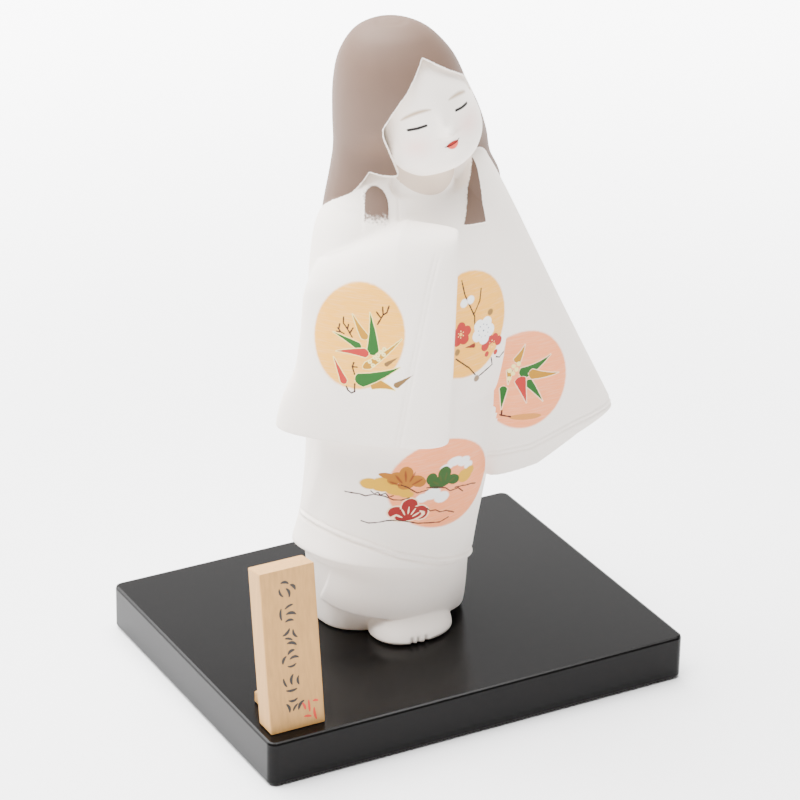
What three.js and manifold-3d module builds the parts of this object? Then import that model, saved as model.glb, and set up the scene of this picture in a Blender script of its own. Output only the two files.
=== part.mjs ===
// Hakata doll: a painted clay figure of a standing girl in a long-sleeved robe, on its black
// lacquered plinth, with the wooden name tablet that leans back beside it on a small prop.
// Millimetres, +Z up. The origin is the centre of the plinth's underside; +X runs to the right
// along its long front edge and +Y goes back. The figure faces the front edge.
import * as THREE from 'three';
import { mergeVertices } from 'three/addons/utils/BufferGeometryUtils.js';
import Module from 'manifold-3d';

const wasm = await Module();
wasm.setup();

// Driving dimensions of the plinth
const PLINTH_WIDTH = 170;
const PLINTH_DEPTH = 131;
const PLINTH_THICKNESS = 17;
const PLINTH_CORNER_RADIUS = 2.2;
const PLINTH_EDGE_BREAK = 1;

// Driving dimensions of the name tablet and of the prop glued behind it
const TABLET_WIDTH = 21.3;
const TABLET_HEIGHT = 59.4;
const TABLET_THICKNESS = 9;
const TABLET_LEAN = 9;
const TABLET_EDGE_BREAK = 0.5;
const TABLET_LEFT_INSET = 3;
const TABLET_FRONT_INSET = 5.7;
const PROP_WIDTH = 11;
const PROP_HEIGHT = 13;
const PROP_DEPTH = 14;
const PROP_TOE = 4;

// Driving dimension of the figure: everything on it is laid out in hundredths of this height
const DOLL_HEIGHT = 230;

// Gap that pieces which touch keep between their faces
const CONTACT_GAP = 0.3;

// Fineness of the figure's skins
const POINTS_AROUND = 40;
const HEAD_POINTS_AROUND = 48;
const SMALL_POINTS_AROUND = 24;
const LEVELS_BETWEEN = 2;

const UNIT = DOLL_HEIGHT / 100;
const RADIANS = Math.PI / 180;

// Turns a closed, outward-facing geometry into a solid that can be joined and cut
function solid(geometry) {
  const bare = geometry.clone();
  bare.deleteAttribute('normal');
  bare.deleteAttribute('uv');
  const merged = mergeVertices(bare, 1e-5);
  return new wasm.Manifold(new wasm.Mesh({
    numProp: 3,
    vertProperties: new Float32Array(merged.attributes.position.array),
    triVerts: new Uint32Array(merged.index.array),
  }));
}

// Turns a solid back into a geometry
function geometryOf(body) {
  const mesh = body.getMesh();
  const geometry = new THREE.BufferGeometry();
  const stride = mesh.numProp;
  const count = mesh.vertProperties.length / stride;
  const positions = new Float32Array(count * 3);
  for (let i = 0; i < count; i += 1) {
    for (let axis = 0; axis < 3; axis += 1) {
      positions[3 * i + axis] = mesh.vertProperties[stride * i + axis];
    }
  }
  geometry.setAttribute('position', new THREE.BufferAttribute(positions, 3));
  geometry.setIndex(new THREE.BufferAttribute(new Uint32Array(mesh.triVerts), 1));
  return geometry;
}

// Smooth value between four neighbouring control values
function eased(before, from, to, after, t) {
  const rise = (to - before) / 2;
  const fall = (after - from) / 2;
  const t2 = t * t;
  const t3 = t2 * t;
  return (2 * t3 - 3 * t2 + 1) * from + (t3 - 2 * t2 + t) * rise
    + (3 * t2 - 2 * t3) * to + (t3 - t2) * fall;
}

// Fills in smooth levels between the given ones. A level is [height, x, y, half width,
// half depth in front, half depth behind, squareness], in hundredths of the figure's height
function smoothLevels(levels, between = LEVELS_BETWEEN) {
  const filled = [];
  for (let i = 0; i + 1 < levels.length; i += 1) {
    const near = [levels[Math.max(i - 1, 0)], levels[i], levels[i + 1],
      levels[Math.min(i + 2, levels.length - 1)]];
    for (let step = 0; step < between; step += 1) {
      filled.push(levels[i].map((_, k) => eased(...near.map((level) => level[k]), step / between)));
    }
  }
  filled.push(levels[levels.length - 1]);
  return filled;
}

// Point of a level's rounded outline at the given angle
function outlinePoint([z, x, y, halfWidth, front, back, squareness], angle) {
  const power = 2 / squareness;
  const c = Math.cos(angle);
  const s = Math.sin(angle);
  const across = Math.sign(c) * Math.abs(c) ** power;
  const along = Math.sign(s) * Math.abs(s) ** power;
  return [x + halfWidth * across, y + (s < 0 ? front : back) * along, z];
}

// A closed skin drawn over a stack of levels, in units of the figure
function skin(levels, { around = POINTS_AROUND, shape = (point) => point } = {}) {
  const positions = [];
  const index = [];
  levels.forEach((level) => {
    for (let i = 0; i < around; i += 1) {
      positions.push(...shape(outlinePoint(level, (i / around) * 2 * Math.PI), level));
    }
  });
  levels.slice(1).forEach((_, row) => {
    for (let i = 0; i < around; i += 1) {
      const a = row * around + i;
      const b = row * around + ((i + 1) % around);
      index.push(a, b, a + around, b, b + around, a + around);
    }
  });
  [0, levels.length - 1].forEach((row) => {
    const first = row * around;
    const centre = [0, 1, 2].map((axis) => {
      let sum = 0;
      for (let i = 0; i < around; i += 1) sum += positions[3 * (first + i) + axis];
      return sum / around;
    });
    const middle = positions.length / 3;
    positions.push(...centre);
    for (let i = 0; i < around; i += 1) {
      const a = first + i;
      const b = first + ((i + 1) % around);
      if (row === 0) index.push(b, a, middle);
      else index.push(a, b, middle);
    }
  });
  const geometry = new THREE.BufferGeometry();
  geometry.setAttribute('position', new THREE.BufferAttribute(new Float32Array(positions), 3));
  geometry.setIndex(index);
  return geometry;
}

// Places a form made round its own origin: leans it, turns it and moves it, in units and degrees
function placed(geometry, { at = [0, 0, 0], nod = 0, lean = 0, turn = 0 } = {}) {
  geometry.rotateY(lean * RADIANS);
  geometry.rotateX(nod * RADIANS);
  geometry.rotateZ(turn * RADIANS);
  geometry.translate(...at);
  return geometry;
}

// Places on the figure, in hundredths of its height above the plinth
const BODY = { at: [-0.8, 1.4, 0], turn: 6 };
const HEAD = { at: [3.2, -0.8, 86.8], nod: -2, lean: -22, turn: -16 };
const LEFT_SLEEVE = { at: [14.0, 1, 78.6], lean: -25, nod: -6 };
const RIGHT_SLEEVE = { at: [-10.6, -6.6, 37.2], turn: -41 };
const FEET = { at: [-1.3, -5.0, 0], turn: 5 };
const FOOT_SPACING = 6.7;

// Heights of the hems of the robe's layers
const FLAP_HEM = 2.8;
const MIDDLE_HEM = 13.2;
const OUTER_HEM = 12.2;
const SASH_FOLD = 39.5;

// The innermost robe, which stands on the plinth and is drawn in above its foot in front
function underRobe() {
  const levels = smoothLevels([
    [0, -0.2, 2.4, 11.2, 6.6, 8.4, 2.3],
    [4, -0.3, 1.4, 11.9, 8.0, 9.2, 2.3],
    [12, -0.5, 0.4, 12.9, 10.0, 10.8, 2.3],
    [20, -0.4, 0, 13.0, 10.4, 11, 2.3],
  ]);
  return placed(skin(levels), BODY);
}

// The robe's front flap, wrapped over the innermost robe with its free edge on the right side
function frontFlap() {
  const levels = smoothLevels([
    [FLAP_HEM, 0.3, 0.2, 11.6, 9.9, 10.2, 2.3],
    [FLAP_HEM + 0.7, 0.3, 0.2, 12.2, 10.5, 10.8, 2.3],
    [8, 0.3, 0, 12.6, 10.8, 11.2, 2.3],
    [18, 0.1, 0, 13.2, 11.0, 11.4, 2.3],
  ]);
  const shape = ([x, y, z]) => {
    const freeEdge = -14.4 + 0.1 * z + 0.7 * y;
    const hemDrop = z < FLAP_HEM + 1 ? 0.1 * x : 0;
    return [Math.max(x, freeEdge), y, z - hemDrop];
  };
  return placed(skin(levels, { shape }), BODY);
}

// The robe's middle layer, which shows as a second edge below the outer hem
function middleRobe() {
  const levels = [
    [MIDDLE_HEM, -1.0, 0, 12.7, 11.2, 11.6, 2.3],
    [MIDDLE_HEM + 0.6, -1.1, 0, 13.3, 11.6, 12.0, 2.3],
    [MIDDLE_HEM + 6, -0.6, 0, 13.5, 11.4, 11.8, 2.3],
  ];
  const shape = ([x, y, z]) => [x, y, z + 0.25 * (x + 12)];
  return placed(skin(levels, { shape }), BODY);
}

// The outer robe's skirt: its hem rises towards the figure's right and its front
function outerRobe() {
  const levels = smoothLevels([
    [OUTER_HEM, -1.0, 0, 13.0, 11.4, 11.8, 2.3],
    [OUTER_HEM + 0.8, -1.2, 0, 14.0, 12.2, 12.4, 2.3],
    [18, 0.0, 0, 14.3, 12.1, 12.2, 2.3],
    [27, 1.4, -0.2, 15.1, 12.0, 12, 2.3],
    [36, 2.4, -0.2, 15.8, 11.8, 12, 2.3],
    [42, 2.8, -0.2, 15.6, 11.2, 11.6, 2.3],
  ]);
  const shape = ([x, y, z]) => {
    const low = Math.max(0, 1 - (z - OUTER_HEM) / 16);
    return [x, y, z + low * (-0.19 * x - 0.13 * (y + 8.2))];
  };
  return placed(skin(levels, { shape }), BODY);
}

// The robe's upper part, from the fold over the sash to the shoulders, which slope up steeply
function torso() {
  const levels = smoothLevels([
    [SASH_FOLD - 0.6, 2.8, 0, 15.0, 11.0, 11, 2.3],
    [SASH_FOLD + 0.9, 2.9, 0, 16.3, 11.9, 11, 2.3],
    [48, 4.3, 0, 17.7, 11.7, 11, 2.3],
    [58, 4.5, 0, 17.4, 11.3, 10.6, 2.3],
    [66, 3.8, 0.2, 15.9, 10.4, 9.8, 2.3],
    [70, 3.3, 0.2, 14.7, 9.4, 9.0, 2.2],
    [74.5, 4.0, 0.6, 12.0, 7.0, 7.4, 2.1],
    [77, 5.3, 0.8, 9.5, 5.0, 6.0, 2.1],
    [79.5, 6.2, 0.8, 7.1, 4.0, 5.0, 2.0],
  ]);
  return placed(skin(levels), BODY);
}

// The hollow between the neck and the collar, open to the front
function neckHollow() {
  const levels = [
    [75.2, 2.6, -3.6, 4.4, 4.0, 3.0, 2],
    [77, 2.8, -4.2, 6.4, 6.4, 4.6, 2],
    [84, 3.4, -5, 9, 9, 6, 2],
  ];
  return skin(levels, { around: SMALL_POINTS_AROUND });
}

// The neck, from inside the collar up into the head
function neck() {
  const levels = [
    [73, 2.2, -0.4, 5.2, 4.6, 4.6, 2],
    [77, 2.6, -0.8, 4.6, 4.4, 4.4, 2],
    [82, 3.2, -0.8, 4.6, 4.4, 4.4, 2],
  ];
  return skin(levels, { around: SMALL_POINTS_AROUND });
}

// The raised right forearm with the sleeve that hangs from it like a broad panel. The cuff is
// the flat face on the panel's front edge, and behind it the panel thickens to meet the chest
function rightSleeve() {
  const levels = smoothLevels([
    [-0.3, 0.5, 0, 13.0, 4.2, 3.6, 2.6],
    [0.3, 0.5, 0, 13.7, 4.6, 4, 2.6],
    [5, 1.3, 0, 13.4, 4.7, 5, 2.6],
    [10, 2.4, 0, 12.6, 4.8, 6, 2.6],
    [16, 3.0, 0, 12.4, 4.8, 7, 2.6],
    [22, 3.2, 0, 12.2, 4.8, 8, 2.5],
    [27, 3.4, 0, 11.9, 4.8, 8, 2.4],
    [31, 3.8, 0.4, 11.5, 4.0, 6, 2.4],
    [33.4, 4.2, 0.8, 11.0, 2.8, 4, 2.4],
    [34.4, 4.4, 1.4, 9.6, 1.6, 2, 2.4],
  ]);
  const shape = ([x, y, z]) => {
    const belowArm = Math.min(1, Math.max(0, (29 - z) / 8));
    const towardsChest = 1 + 0.12 * belowArm * Math.max(0, x + 2);
    const depth = y > 0 ? towardsChest * y : y;
    const towardsElbow = 0.5 * Math.max(0, 6 - x) * Math.max(0, (z - 22) / 12);
    return [Math.min(x, 13.5 + 0.02 * z - 0.22 * depth), depth, z - towardsElbow];
  };
  return placed(skin(levels, { shape }), RIGHT_SLEEVE);
}

// The right shoulder and upper arm, down to the bent elbow inside the sleeve
function rightShoulder() {
  const levels = smoothLevels([
    [44, -10.6, -1.6, 4.8, 6.6, 6.0, 2.2],
    [56, -10.4, -1.6, 5.4, 7.6, 6.6, 2.2],
    [64, -9.6, -0.6, 5.2, 7.0, 6.6, 2.2],
    [70, -7.8, 1.2, 5.0, 5.4, 5.6, 2.1],
    [72.6, -6.4, 1.6, 3.6, 4.0, 4.2, 2],
  ]);
  return skin(levels, { around: SMALL_POINTS_AROUND });
}

// The left arm hangs away from the body, in a sleeve that widens like a flattened bell
function leftSleeve() {
  const levels = smoothLevels([
    [-50.8, -12.6, -2, 11.6, 3.0, 5.6, 2.5],
    [-50, -12.6, -2, 12.1, 3.6, 6.2, 2.5],
    [-44, -12.0, -1.8, 11.5, 3.8, 6, 2.5],
    [-38, -10.4, -1.4, 9.9, 4.2, 6, 2.4],
    [-28, -8.2, -1, 7.7, 4.6, 6, 2.3],
    [-18, -6.8, -0.8, 6.3, 5.0, 6, 2.2],
    [-9, -5.9, -0.6, 5.4, 5.2, 6, 2.1],
    [-2, -5.6, -0.4, 4.9, 4.4, 5, 2.0],
    [1, -5.4, -0.2, 3.6, 3, 3.4, 2.0],
  ]);
  const shape = ([x, y, z], level) => {
    const across = (x - level[1]) / level[3];
    const low = Math.max(0, Math.min(1, (-z - 36) / 14));
    const outer = 1.4 * Math.max(0, across - 0.3);
    const inner = 3.4 * Math.max(0, -across - 0.4);
    return [x, y, z - low * (outer - inner)];
  };
  return placed(skin(levels, { shape }), LEFT_SLEEVE);
}

// Height of a soft round swelling at a place on the face
function swelling(x, z, centreX, centreZ, radiusX, radiusZ) {
  return Math.exp(-(((x - centreX) / radiusX) ** 2) - ((z - centreZ) / radiusZ) ** 2);
}

// The bowed head, with a small nose, lips and chin and with shallow hollows for the eyes
function head() {
  const levels = smoothLevels([
    [-10.6, -0.6, -1.6, 1.8, 1.2, 2.0, 2],
    [-10.0, -0.6, -1.6, 4.0, 3.2, 3.8, 2],
    [-8.6, -0.5, -1.4, 6.6, 5.4, 5, 2.1],
    [-6, -0.3, -0.8, 8.0, 7.2, 7, 2.1],
    [-3, -0.2, -0.2, 8.1, 8.0, 8, 2.1],
    [1, -0.3, 0, 7.5, 8.4, 8.6, 2.1],
    [5, -0.5, 0.2, 6.4, 8.0, 8.6, 2],
    [8, -0.4, 0.4, 4.4, 6.4, 7, 2],
    [9.8, 0, 0.8, 2, 2.8, 3, 2],
  ]);
  const shape = ([width, y, z]) => {
    const x = width > 0 ? 0.96 * width : width;
    if (y > 0) return [x, y, z];
    const nose = swelling(x, z, 0, -2.5, 1.2, 1.1) + 0.6 * swelling(x, z, 0, -0.6, 0.9, 1.8);
    const mouth = 0.35 * swelling(x, z, 0, -5, 1.8, 1.1);
    const chin = 0.5 * swelling(x, z, 0, -8.2, 2.4, 1.4);
    const eyes = 0.35 * (swelling(x, z, -3.7, 0.4, 1.8, 1.3) + swelling(x, z, 3.7, 0.4, 1.8, 1.3));
    return [x, y - nose - mouth - chin + eyes, z];
  };
  return placed(skin(levels, { around: HEAD_POINTS_AROUND, shape }), HEAD);
}

// The hair, parted over the forehead, falls in one bell-shaped mass behind the shoulders and
// down the back
function hair() {
  const levels = smoothLevels([
    [43.6, 1.2, 11.6, 7.0, 1.2, 1.4, 2.3],
    [45.4, 1.2, 11.2, 9.2, 2.2, 2.4, 2.3],
    [54, 1.4, 9.6, 10.6, 3.4, 4.4, 2.3],
    [63, 1.8, 7.4, 11.8, 3.6, 6.2, 2.2],
    [70, 2.4, 5.2, 13.1, 4.4, 7.4, 2.2],
    [76, 2.8, 3.6, 12.6, 5, 8.2, 2.2],
    [80, 2.5, 2.6, 12.3, 6, 8.8, 2.1],
    [85, 1.5, 1.2, 11.6, 8.8, 9.8, 2.05],
    [90, -0.1, 0.8, 10.3, 9.2, 10, 2],
    [94.5, -1.5, 0.8, 8.4, 8.0, 8.8, 2],
    [98, -2.6, 1.0, 5.6, 5.4, 6, 2],
    [99.6, -3.0, 1.2, 2.9, 2.8, 3.2, 2],
    [100, -3.0, 1.2, 1.1, 1, 1.2, 2],
  ]);
  const windowBack = 0.4;
  const windowDepth = 12;
  const cut = new THREE.ExtrudeGeometry(faceWindow(), { depth: windowDepth, bevelEnabled: false });
  cut.rotateX(Math.PI / 2);
  cut.translate(0, windowBack, 0);
  return solid(skin(levels)).subtract(solid(placed(cut, HEAD)));
}

// Outline of the opening in the hair, across the head and up: it rises from the jaw on each
// side to the parting, and is open below
function faceWindow() {
  const parting = [1.2, 9.4];
  const brow = [-5.2, 4.1];
  const cheek = [-8.7, -1.4];
  const jaw = [-7.6, -10.4];
  const leftBrow = [5.6, 4.4];
  const leftCheek = [9.6, -1.4];
  const reach = 14;
  const foot = -24;
  const outline = new THREE.Shape();
  outline.moveTo(...parting);
  outline.quadraticCurveTo(-2.2, 6.6, ...brow);
  outline.quadraticCurveTo(-7.4, 1.6, ...cheek);
  outline.quadraticCurveTo(-8.7, -6, ...jaw);
  outline.lineTo(-reach, jaw[1] - 1.4);
  outline.lineTo(-reach, foot);
  outline.lineTo(reach, foot);
  outline.lineTo(...leftCheek);
  outline.quadraticCurveTo(8, 1.6, ...leftBrow);
  outline.quadraticCurveTo(3, 7.4, ...parting);
  return outline;
}

// The toe of a split-toed sock, on the figure's right (-1) or left (1) side
function foot(side) {
  const levels = smoothLevels([
    [0, 0, 0, 3.3, 5.2, 4, 2.3],
    [1.0, 0, 0, 3.45, 5.4, 4, 2.3],
    [2.2, 0, 0.6, 2.9, 4.4, 4, 2.2],
    [2.9, 0, 1.2, 1.6, 2.8, 3, 2],
  ]);
  const [x, y, z] = FEET.at;
  const at = [x + (side * FOOT_SPACING) / 2, y, z];
  return placed(skin(levels, { around: SMALL_POINTS_AROUND }), { at, turn: FEET.turn });
}

// The whole casting, in millimetres
function figure() {
  const robe = [underRobe(), frontFlap(), middleRobe(), outerRobe(), torso(), rightShoulder(),
    leftSleeve()]
    .map(solid)
    .reduce((sum, form) => sum.add(form))
    .subtract(solid(neckHollow()));
  const forms = [rightSleeve(), neck(), head(), foot(-1), foot(1)].map(solid);
  const whole = [...forms, hair()].reduce((sum, form) => sum.add(form), robe);
  const geometry = geometryOf(whole);
  geometry.scale(UNIT, UNIT, UNIT);
  return geometry;
}

// A flat board with rounded corners and broken edges, standing on its underside
function board(width, depth, thickness, cornerRadius, edgeBreak) {
  const halfWidth = width / 2 - edgeBreak;
  const halfDepth = depth / 2 - edgeBreak;
  const outline = new THREE.Shape();
  const radius = cornerRadius;
  outline.moveTo(-halfWidth + radius, -halfDepth);
  outline.lineTo(halfWidth - radius, -halfDepth);
  outline.absarc(halfWidth - radius, -halfDepth + radius, radius, -Math.PI / 2, 0);
  outline.absarc(halfWidth - radius, halfDepth - radius, radius, 0, Math.PI / 2);
  outline.absarc(-halfWidth + radius, halfDepth - radius, radius, Math.PI / 2, Math.PI);
  outline.absarc(-halfWidth + radius, -halfDepth + radius, radius, Math.PI, 1.5 * Math.PI);
  const geometry = new THREE.ExtrudeGeometry(outline, {
    depth: thickness - 2 * edgeBreak,
    bevelEnabled: true,
    bevelThickness: edgeBreak,
    bevelSize: edgeBreak,
    bevelSegments: 2,
    curveSegments: 4,
  });
  geometry.translate(0, 0, edgeBreak);
  return geometry;
}

// A length of moulding along X, centred there, with the given side profile. The profile's
// points are distances behind and above the foot of its front face
function moulding(profile, length, edgeBreak) {
  const outline = new THREE.Shape(profile.map(([back, up]) => new THREE.Vector2(back, up)));
  const geometry = new THREE.ExtrudeGeometry(outline, {
    depth: length - 2 * edgeBreak,
    bevelEnabled: true,
    bevelThickness: edgeBreak,
    bevelSize: edgeBreak,
    bevelOffset: -edgeBreak,
    bevelSegments: 2,
  });
  geometry.translate(0, 0, edgeBreak - length / 2);
  const alongX = new THREE.Matrix4().set(0, 0, 1, 0, 1, 0, 0, 0, 0, 1, 0, 0, 0, 0, 0, 1);
  return geometry.applyMatrix4(alongX);
}

const LEAN_SLOPE = Math.tan(TABLET_LEAN * RADIANS);

// How far the leaning tablet's back face is behind the foot of its front face, at a height
function tabletBack(height) {
  return TABLET_THICKNESS / Math.cos(TABLET_LEAN * RADIANS) + height * LEAN_SLOPE;
}

// The tablet, standing on its lower end, with the foot of its front face at the origin
function tabletShape() {
  const up = [Math.sin(TABLET_LEAN * RADIANS), Math.cos(TABLET_LEAN * RADIANS)];
  const top = [TABLET_HEIGHT * up[0], TABLET_HEIGHT * up[1]];
  const profile = [
    [0, 0],
    [tabletBack(0), 0],
    [top[0] + TABLET_THICKNESS * up[1], top[1] - TABLET_THICKNESS * up[0]],
    top,
  ];
  return moulding(profile, TABLET_WIDTH, TABLET_EDGE_BREAK);
}

// The block that the tablet leans on
function propShape() {
  const gap = CONTACT_GAP / Math.cos(TABLET_LEAN * RADIANS);
  const foot = tabletBack(0) + gap;
  const profile = [
    [foot, 0],
    [foot + PROP_DEPTH, 0],
    [foot + PROP_DEPTH, PROP_TOE],
    [tabletBack(PROP_HEIGHT) + gap, PROP_HEIGHT],
  ];
  return moulding(profile, PROP_WIDTH, TABLET_EDGE_BREAK);
}

// A named piece with its own finish
function mesh(name, geometry, look) {
  const made = new THREE.Mesh(geometry, new THREE.MeshStandardMaterial(look));
  made.name = name;
  return made;
}

const part = new THREE.Group();

part.add(mesh(
  'plinth',
  board(PLINTH_WIDTH, PLINTH_DEPTH, PLINTH_THICKNESS, PLINTH_CORNER_RADIUS, PLINTH_EDGE_BREAK),
  { color: '#161618', roughness: 0.3, metalness: 0 },
));

const onPlinth = new THREE.Group();
onPlinth.position.z = PLINTH_THICKNESS + CONTACT_GAP;
part.add(onPlinth);
onPlinth.add(mesh('doll', figure(), { color: '#e9e7e5', roughness: 0.85, metalness: 0 }));

const tabletPlace = new THREE.Group();
tabletPlace.position.x = -PLINTH_WIDTH / 2 + TABLET_LEFT_INSET + TABLET_WIDTH / 2;
tabletPlace.position.y = -PLINTH_DEPTH / 2 + TABLET_FRONT_INSET;
onPlinth.add(tabletPlace);
const wood = { color: '#e6c99a', roughness: 0.6, metalness: 0 };
tabletPlace.add(mesh('name_tablet', tabletShape(), wood));
tabletPlace.add(mesh('tablet_prop', propShape(), wood));

export default part;
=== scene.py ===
"""A painted clay doll on its lacquered board, with its wooden name tablet, in a plain studio.

Everything is in metres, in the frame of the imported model. The doll is laid out in units of a
hundredth of its own height, above the top of its board.
"""
import logging
from dataclasses import dataclass, field
from enum import Enum
from collections.abc import Iterable, Iterator
from functools import cached_property, reduce
from math import cos, radians, sin

import bpy
import numpy as np
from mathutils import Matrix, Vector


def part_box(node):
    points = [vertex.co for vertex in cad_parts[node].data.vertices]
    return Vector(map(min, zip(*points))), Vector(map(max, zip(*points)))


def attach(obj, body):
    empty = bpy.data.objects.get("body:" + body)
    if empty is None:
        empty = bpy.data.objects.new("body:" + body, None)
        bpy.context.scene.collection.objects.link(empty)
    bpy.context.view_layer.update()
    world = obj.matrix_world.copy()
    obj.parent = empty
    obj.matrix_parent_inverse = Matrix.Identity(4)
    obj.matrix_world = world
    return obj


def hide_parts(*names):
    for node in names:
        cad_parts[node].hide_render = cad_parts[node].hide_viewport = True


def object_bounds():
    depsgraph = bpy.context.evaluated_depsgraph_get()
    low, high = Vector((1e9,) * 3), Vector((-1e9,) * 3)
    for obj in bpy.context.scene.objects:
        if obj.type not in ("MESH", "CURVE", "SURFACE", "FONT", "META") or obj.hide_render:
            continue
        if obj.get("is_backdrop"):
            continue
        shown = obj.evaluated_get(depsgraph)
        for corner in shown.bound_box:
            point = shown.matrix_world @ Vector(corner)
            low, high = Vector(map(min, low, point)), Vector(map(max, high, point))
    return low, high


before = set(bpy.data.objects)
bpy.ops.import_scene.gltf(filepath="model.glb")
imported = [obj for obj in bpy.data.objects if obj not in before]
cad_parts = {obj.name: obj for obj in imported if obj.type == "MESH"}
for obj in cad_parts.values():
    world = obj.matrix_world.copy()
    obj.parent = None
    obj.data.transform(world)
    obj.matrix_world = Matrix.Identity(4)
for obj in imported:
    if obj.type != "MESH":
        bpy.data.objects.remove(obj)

import openvdb as vdb
from mathutils import Euler, Matrix, Vector

LOG = logging.getLogger("hakata_doll")

Grid = np.ndarray
Triple = tuple[float, float, float]
Pair = tuple[float, float]
Points = tuple[Grid, Grid, Grid]
Level = tuple[float, float, float, float, float, float, float]

BODY_NAME = "root"
UNITS = 100                  # to the figure's height
MILLIMETRE = 0.001
PAINT_GAIN = 1.5
PAINT_DEPTH = 2.3
PAINT_TOP = 0.87


def linear(red: float, green: float, blue: float) -> Triple:
    """Turns a colour as seen on a screen, from 0 to 255, into the shader's own values."""
    shares = [channel / 255 for channel in (red, green, blue)]
    return tuple(s / 12.92 if s <= 0.04045 else ((s + 0.055) / 1.055) ** 2.4 for s in shares)


def seen(red: float, green: float, blue: float) -> Triple:
    """Gives the paint that looks like a colour, from 0 to 255, in the studio's bright light."""
    return tuple(min(PAINT_TOP, PAINT_GAIN * share ** PAINT_DEPTH) for share in linear(red, green, blue))


class Value:
    """A number that changes over a surface. Expressions on it add Math nodes."""

    def __init__(self, shader: "Shader", socket: bpy.types.NodeSocket) -> None:
        """Takes the shader that works the number out and the output that gives it."""
        self.shader = shader
        self.socket = socket

    def _math(self, operation: str, *operands: "Value | float") -> "Value":
        """Adds a Math node on the given numbers."""
        inputs = dict(enumerate(operands))
        return self.shader.value("ShaderNodeMath", {"operation": operation}, inputs)

    def __add__(self, other: "Value | float") -> "Value":
        """Sum."""
        return self._math("ADD", self, other)

    __radd__ = __add__

    def __sub__(self, other: "Value | float") -> "Value":
        """Difference."""
        return self._math("SUBTRACT", self, other)

    def __rsub__(self, other: float) -> "Value":
        """Difference from a plain number."""
        return self._math("SUBTRACT", other, self)

    def __mul__(self, other: "Value | float") -> "Value":
        """Product."""
        return self._math("MULTIPLY", self, other)

    __rmul__ = __mul__

    def __abs__(self) -> "Value":
        """Size without its sign."""
        return self._math("ABSOLUTE", self)

    def root(self) -> "Value":
        """Square root."""
        return self._math("SQRT", self)

    def least(self, other: "Value | float") -> "Value":
        """The smaller of two numbers."""
        return self._math("MINIMUM", self, other)

    def most(self, other: "Value | float") -> "Value":
        """The larger of two numbers."""
        return self._math("MAXIMUM", self, other)

    def rising(self, start: float, end: float, top: float = 1.0) -> "Value":
        """Goes smoothly from 0 at start to its top at end; start may be the larger one."""
        low, high = min(start, end), max(start, end)
        tops = {"To Max": top} if start < end else {"To Min": top, "To Max": 0.0}
        inputs = {"Value": self, "From Min": low, "From Max": high} | tops
        return self.shader.value("ShaderNodeMapRange", {"interpolation_type": "SMOOTHSTEP"}, inputs)


Socket = bpy.types.NodeSocket
Fill = Value | Socket | float | Triple


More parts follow.
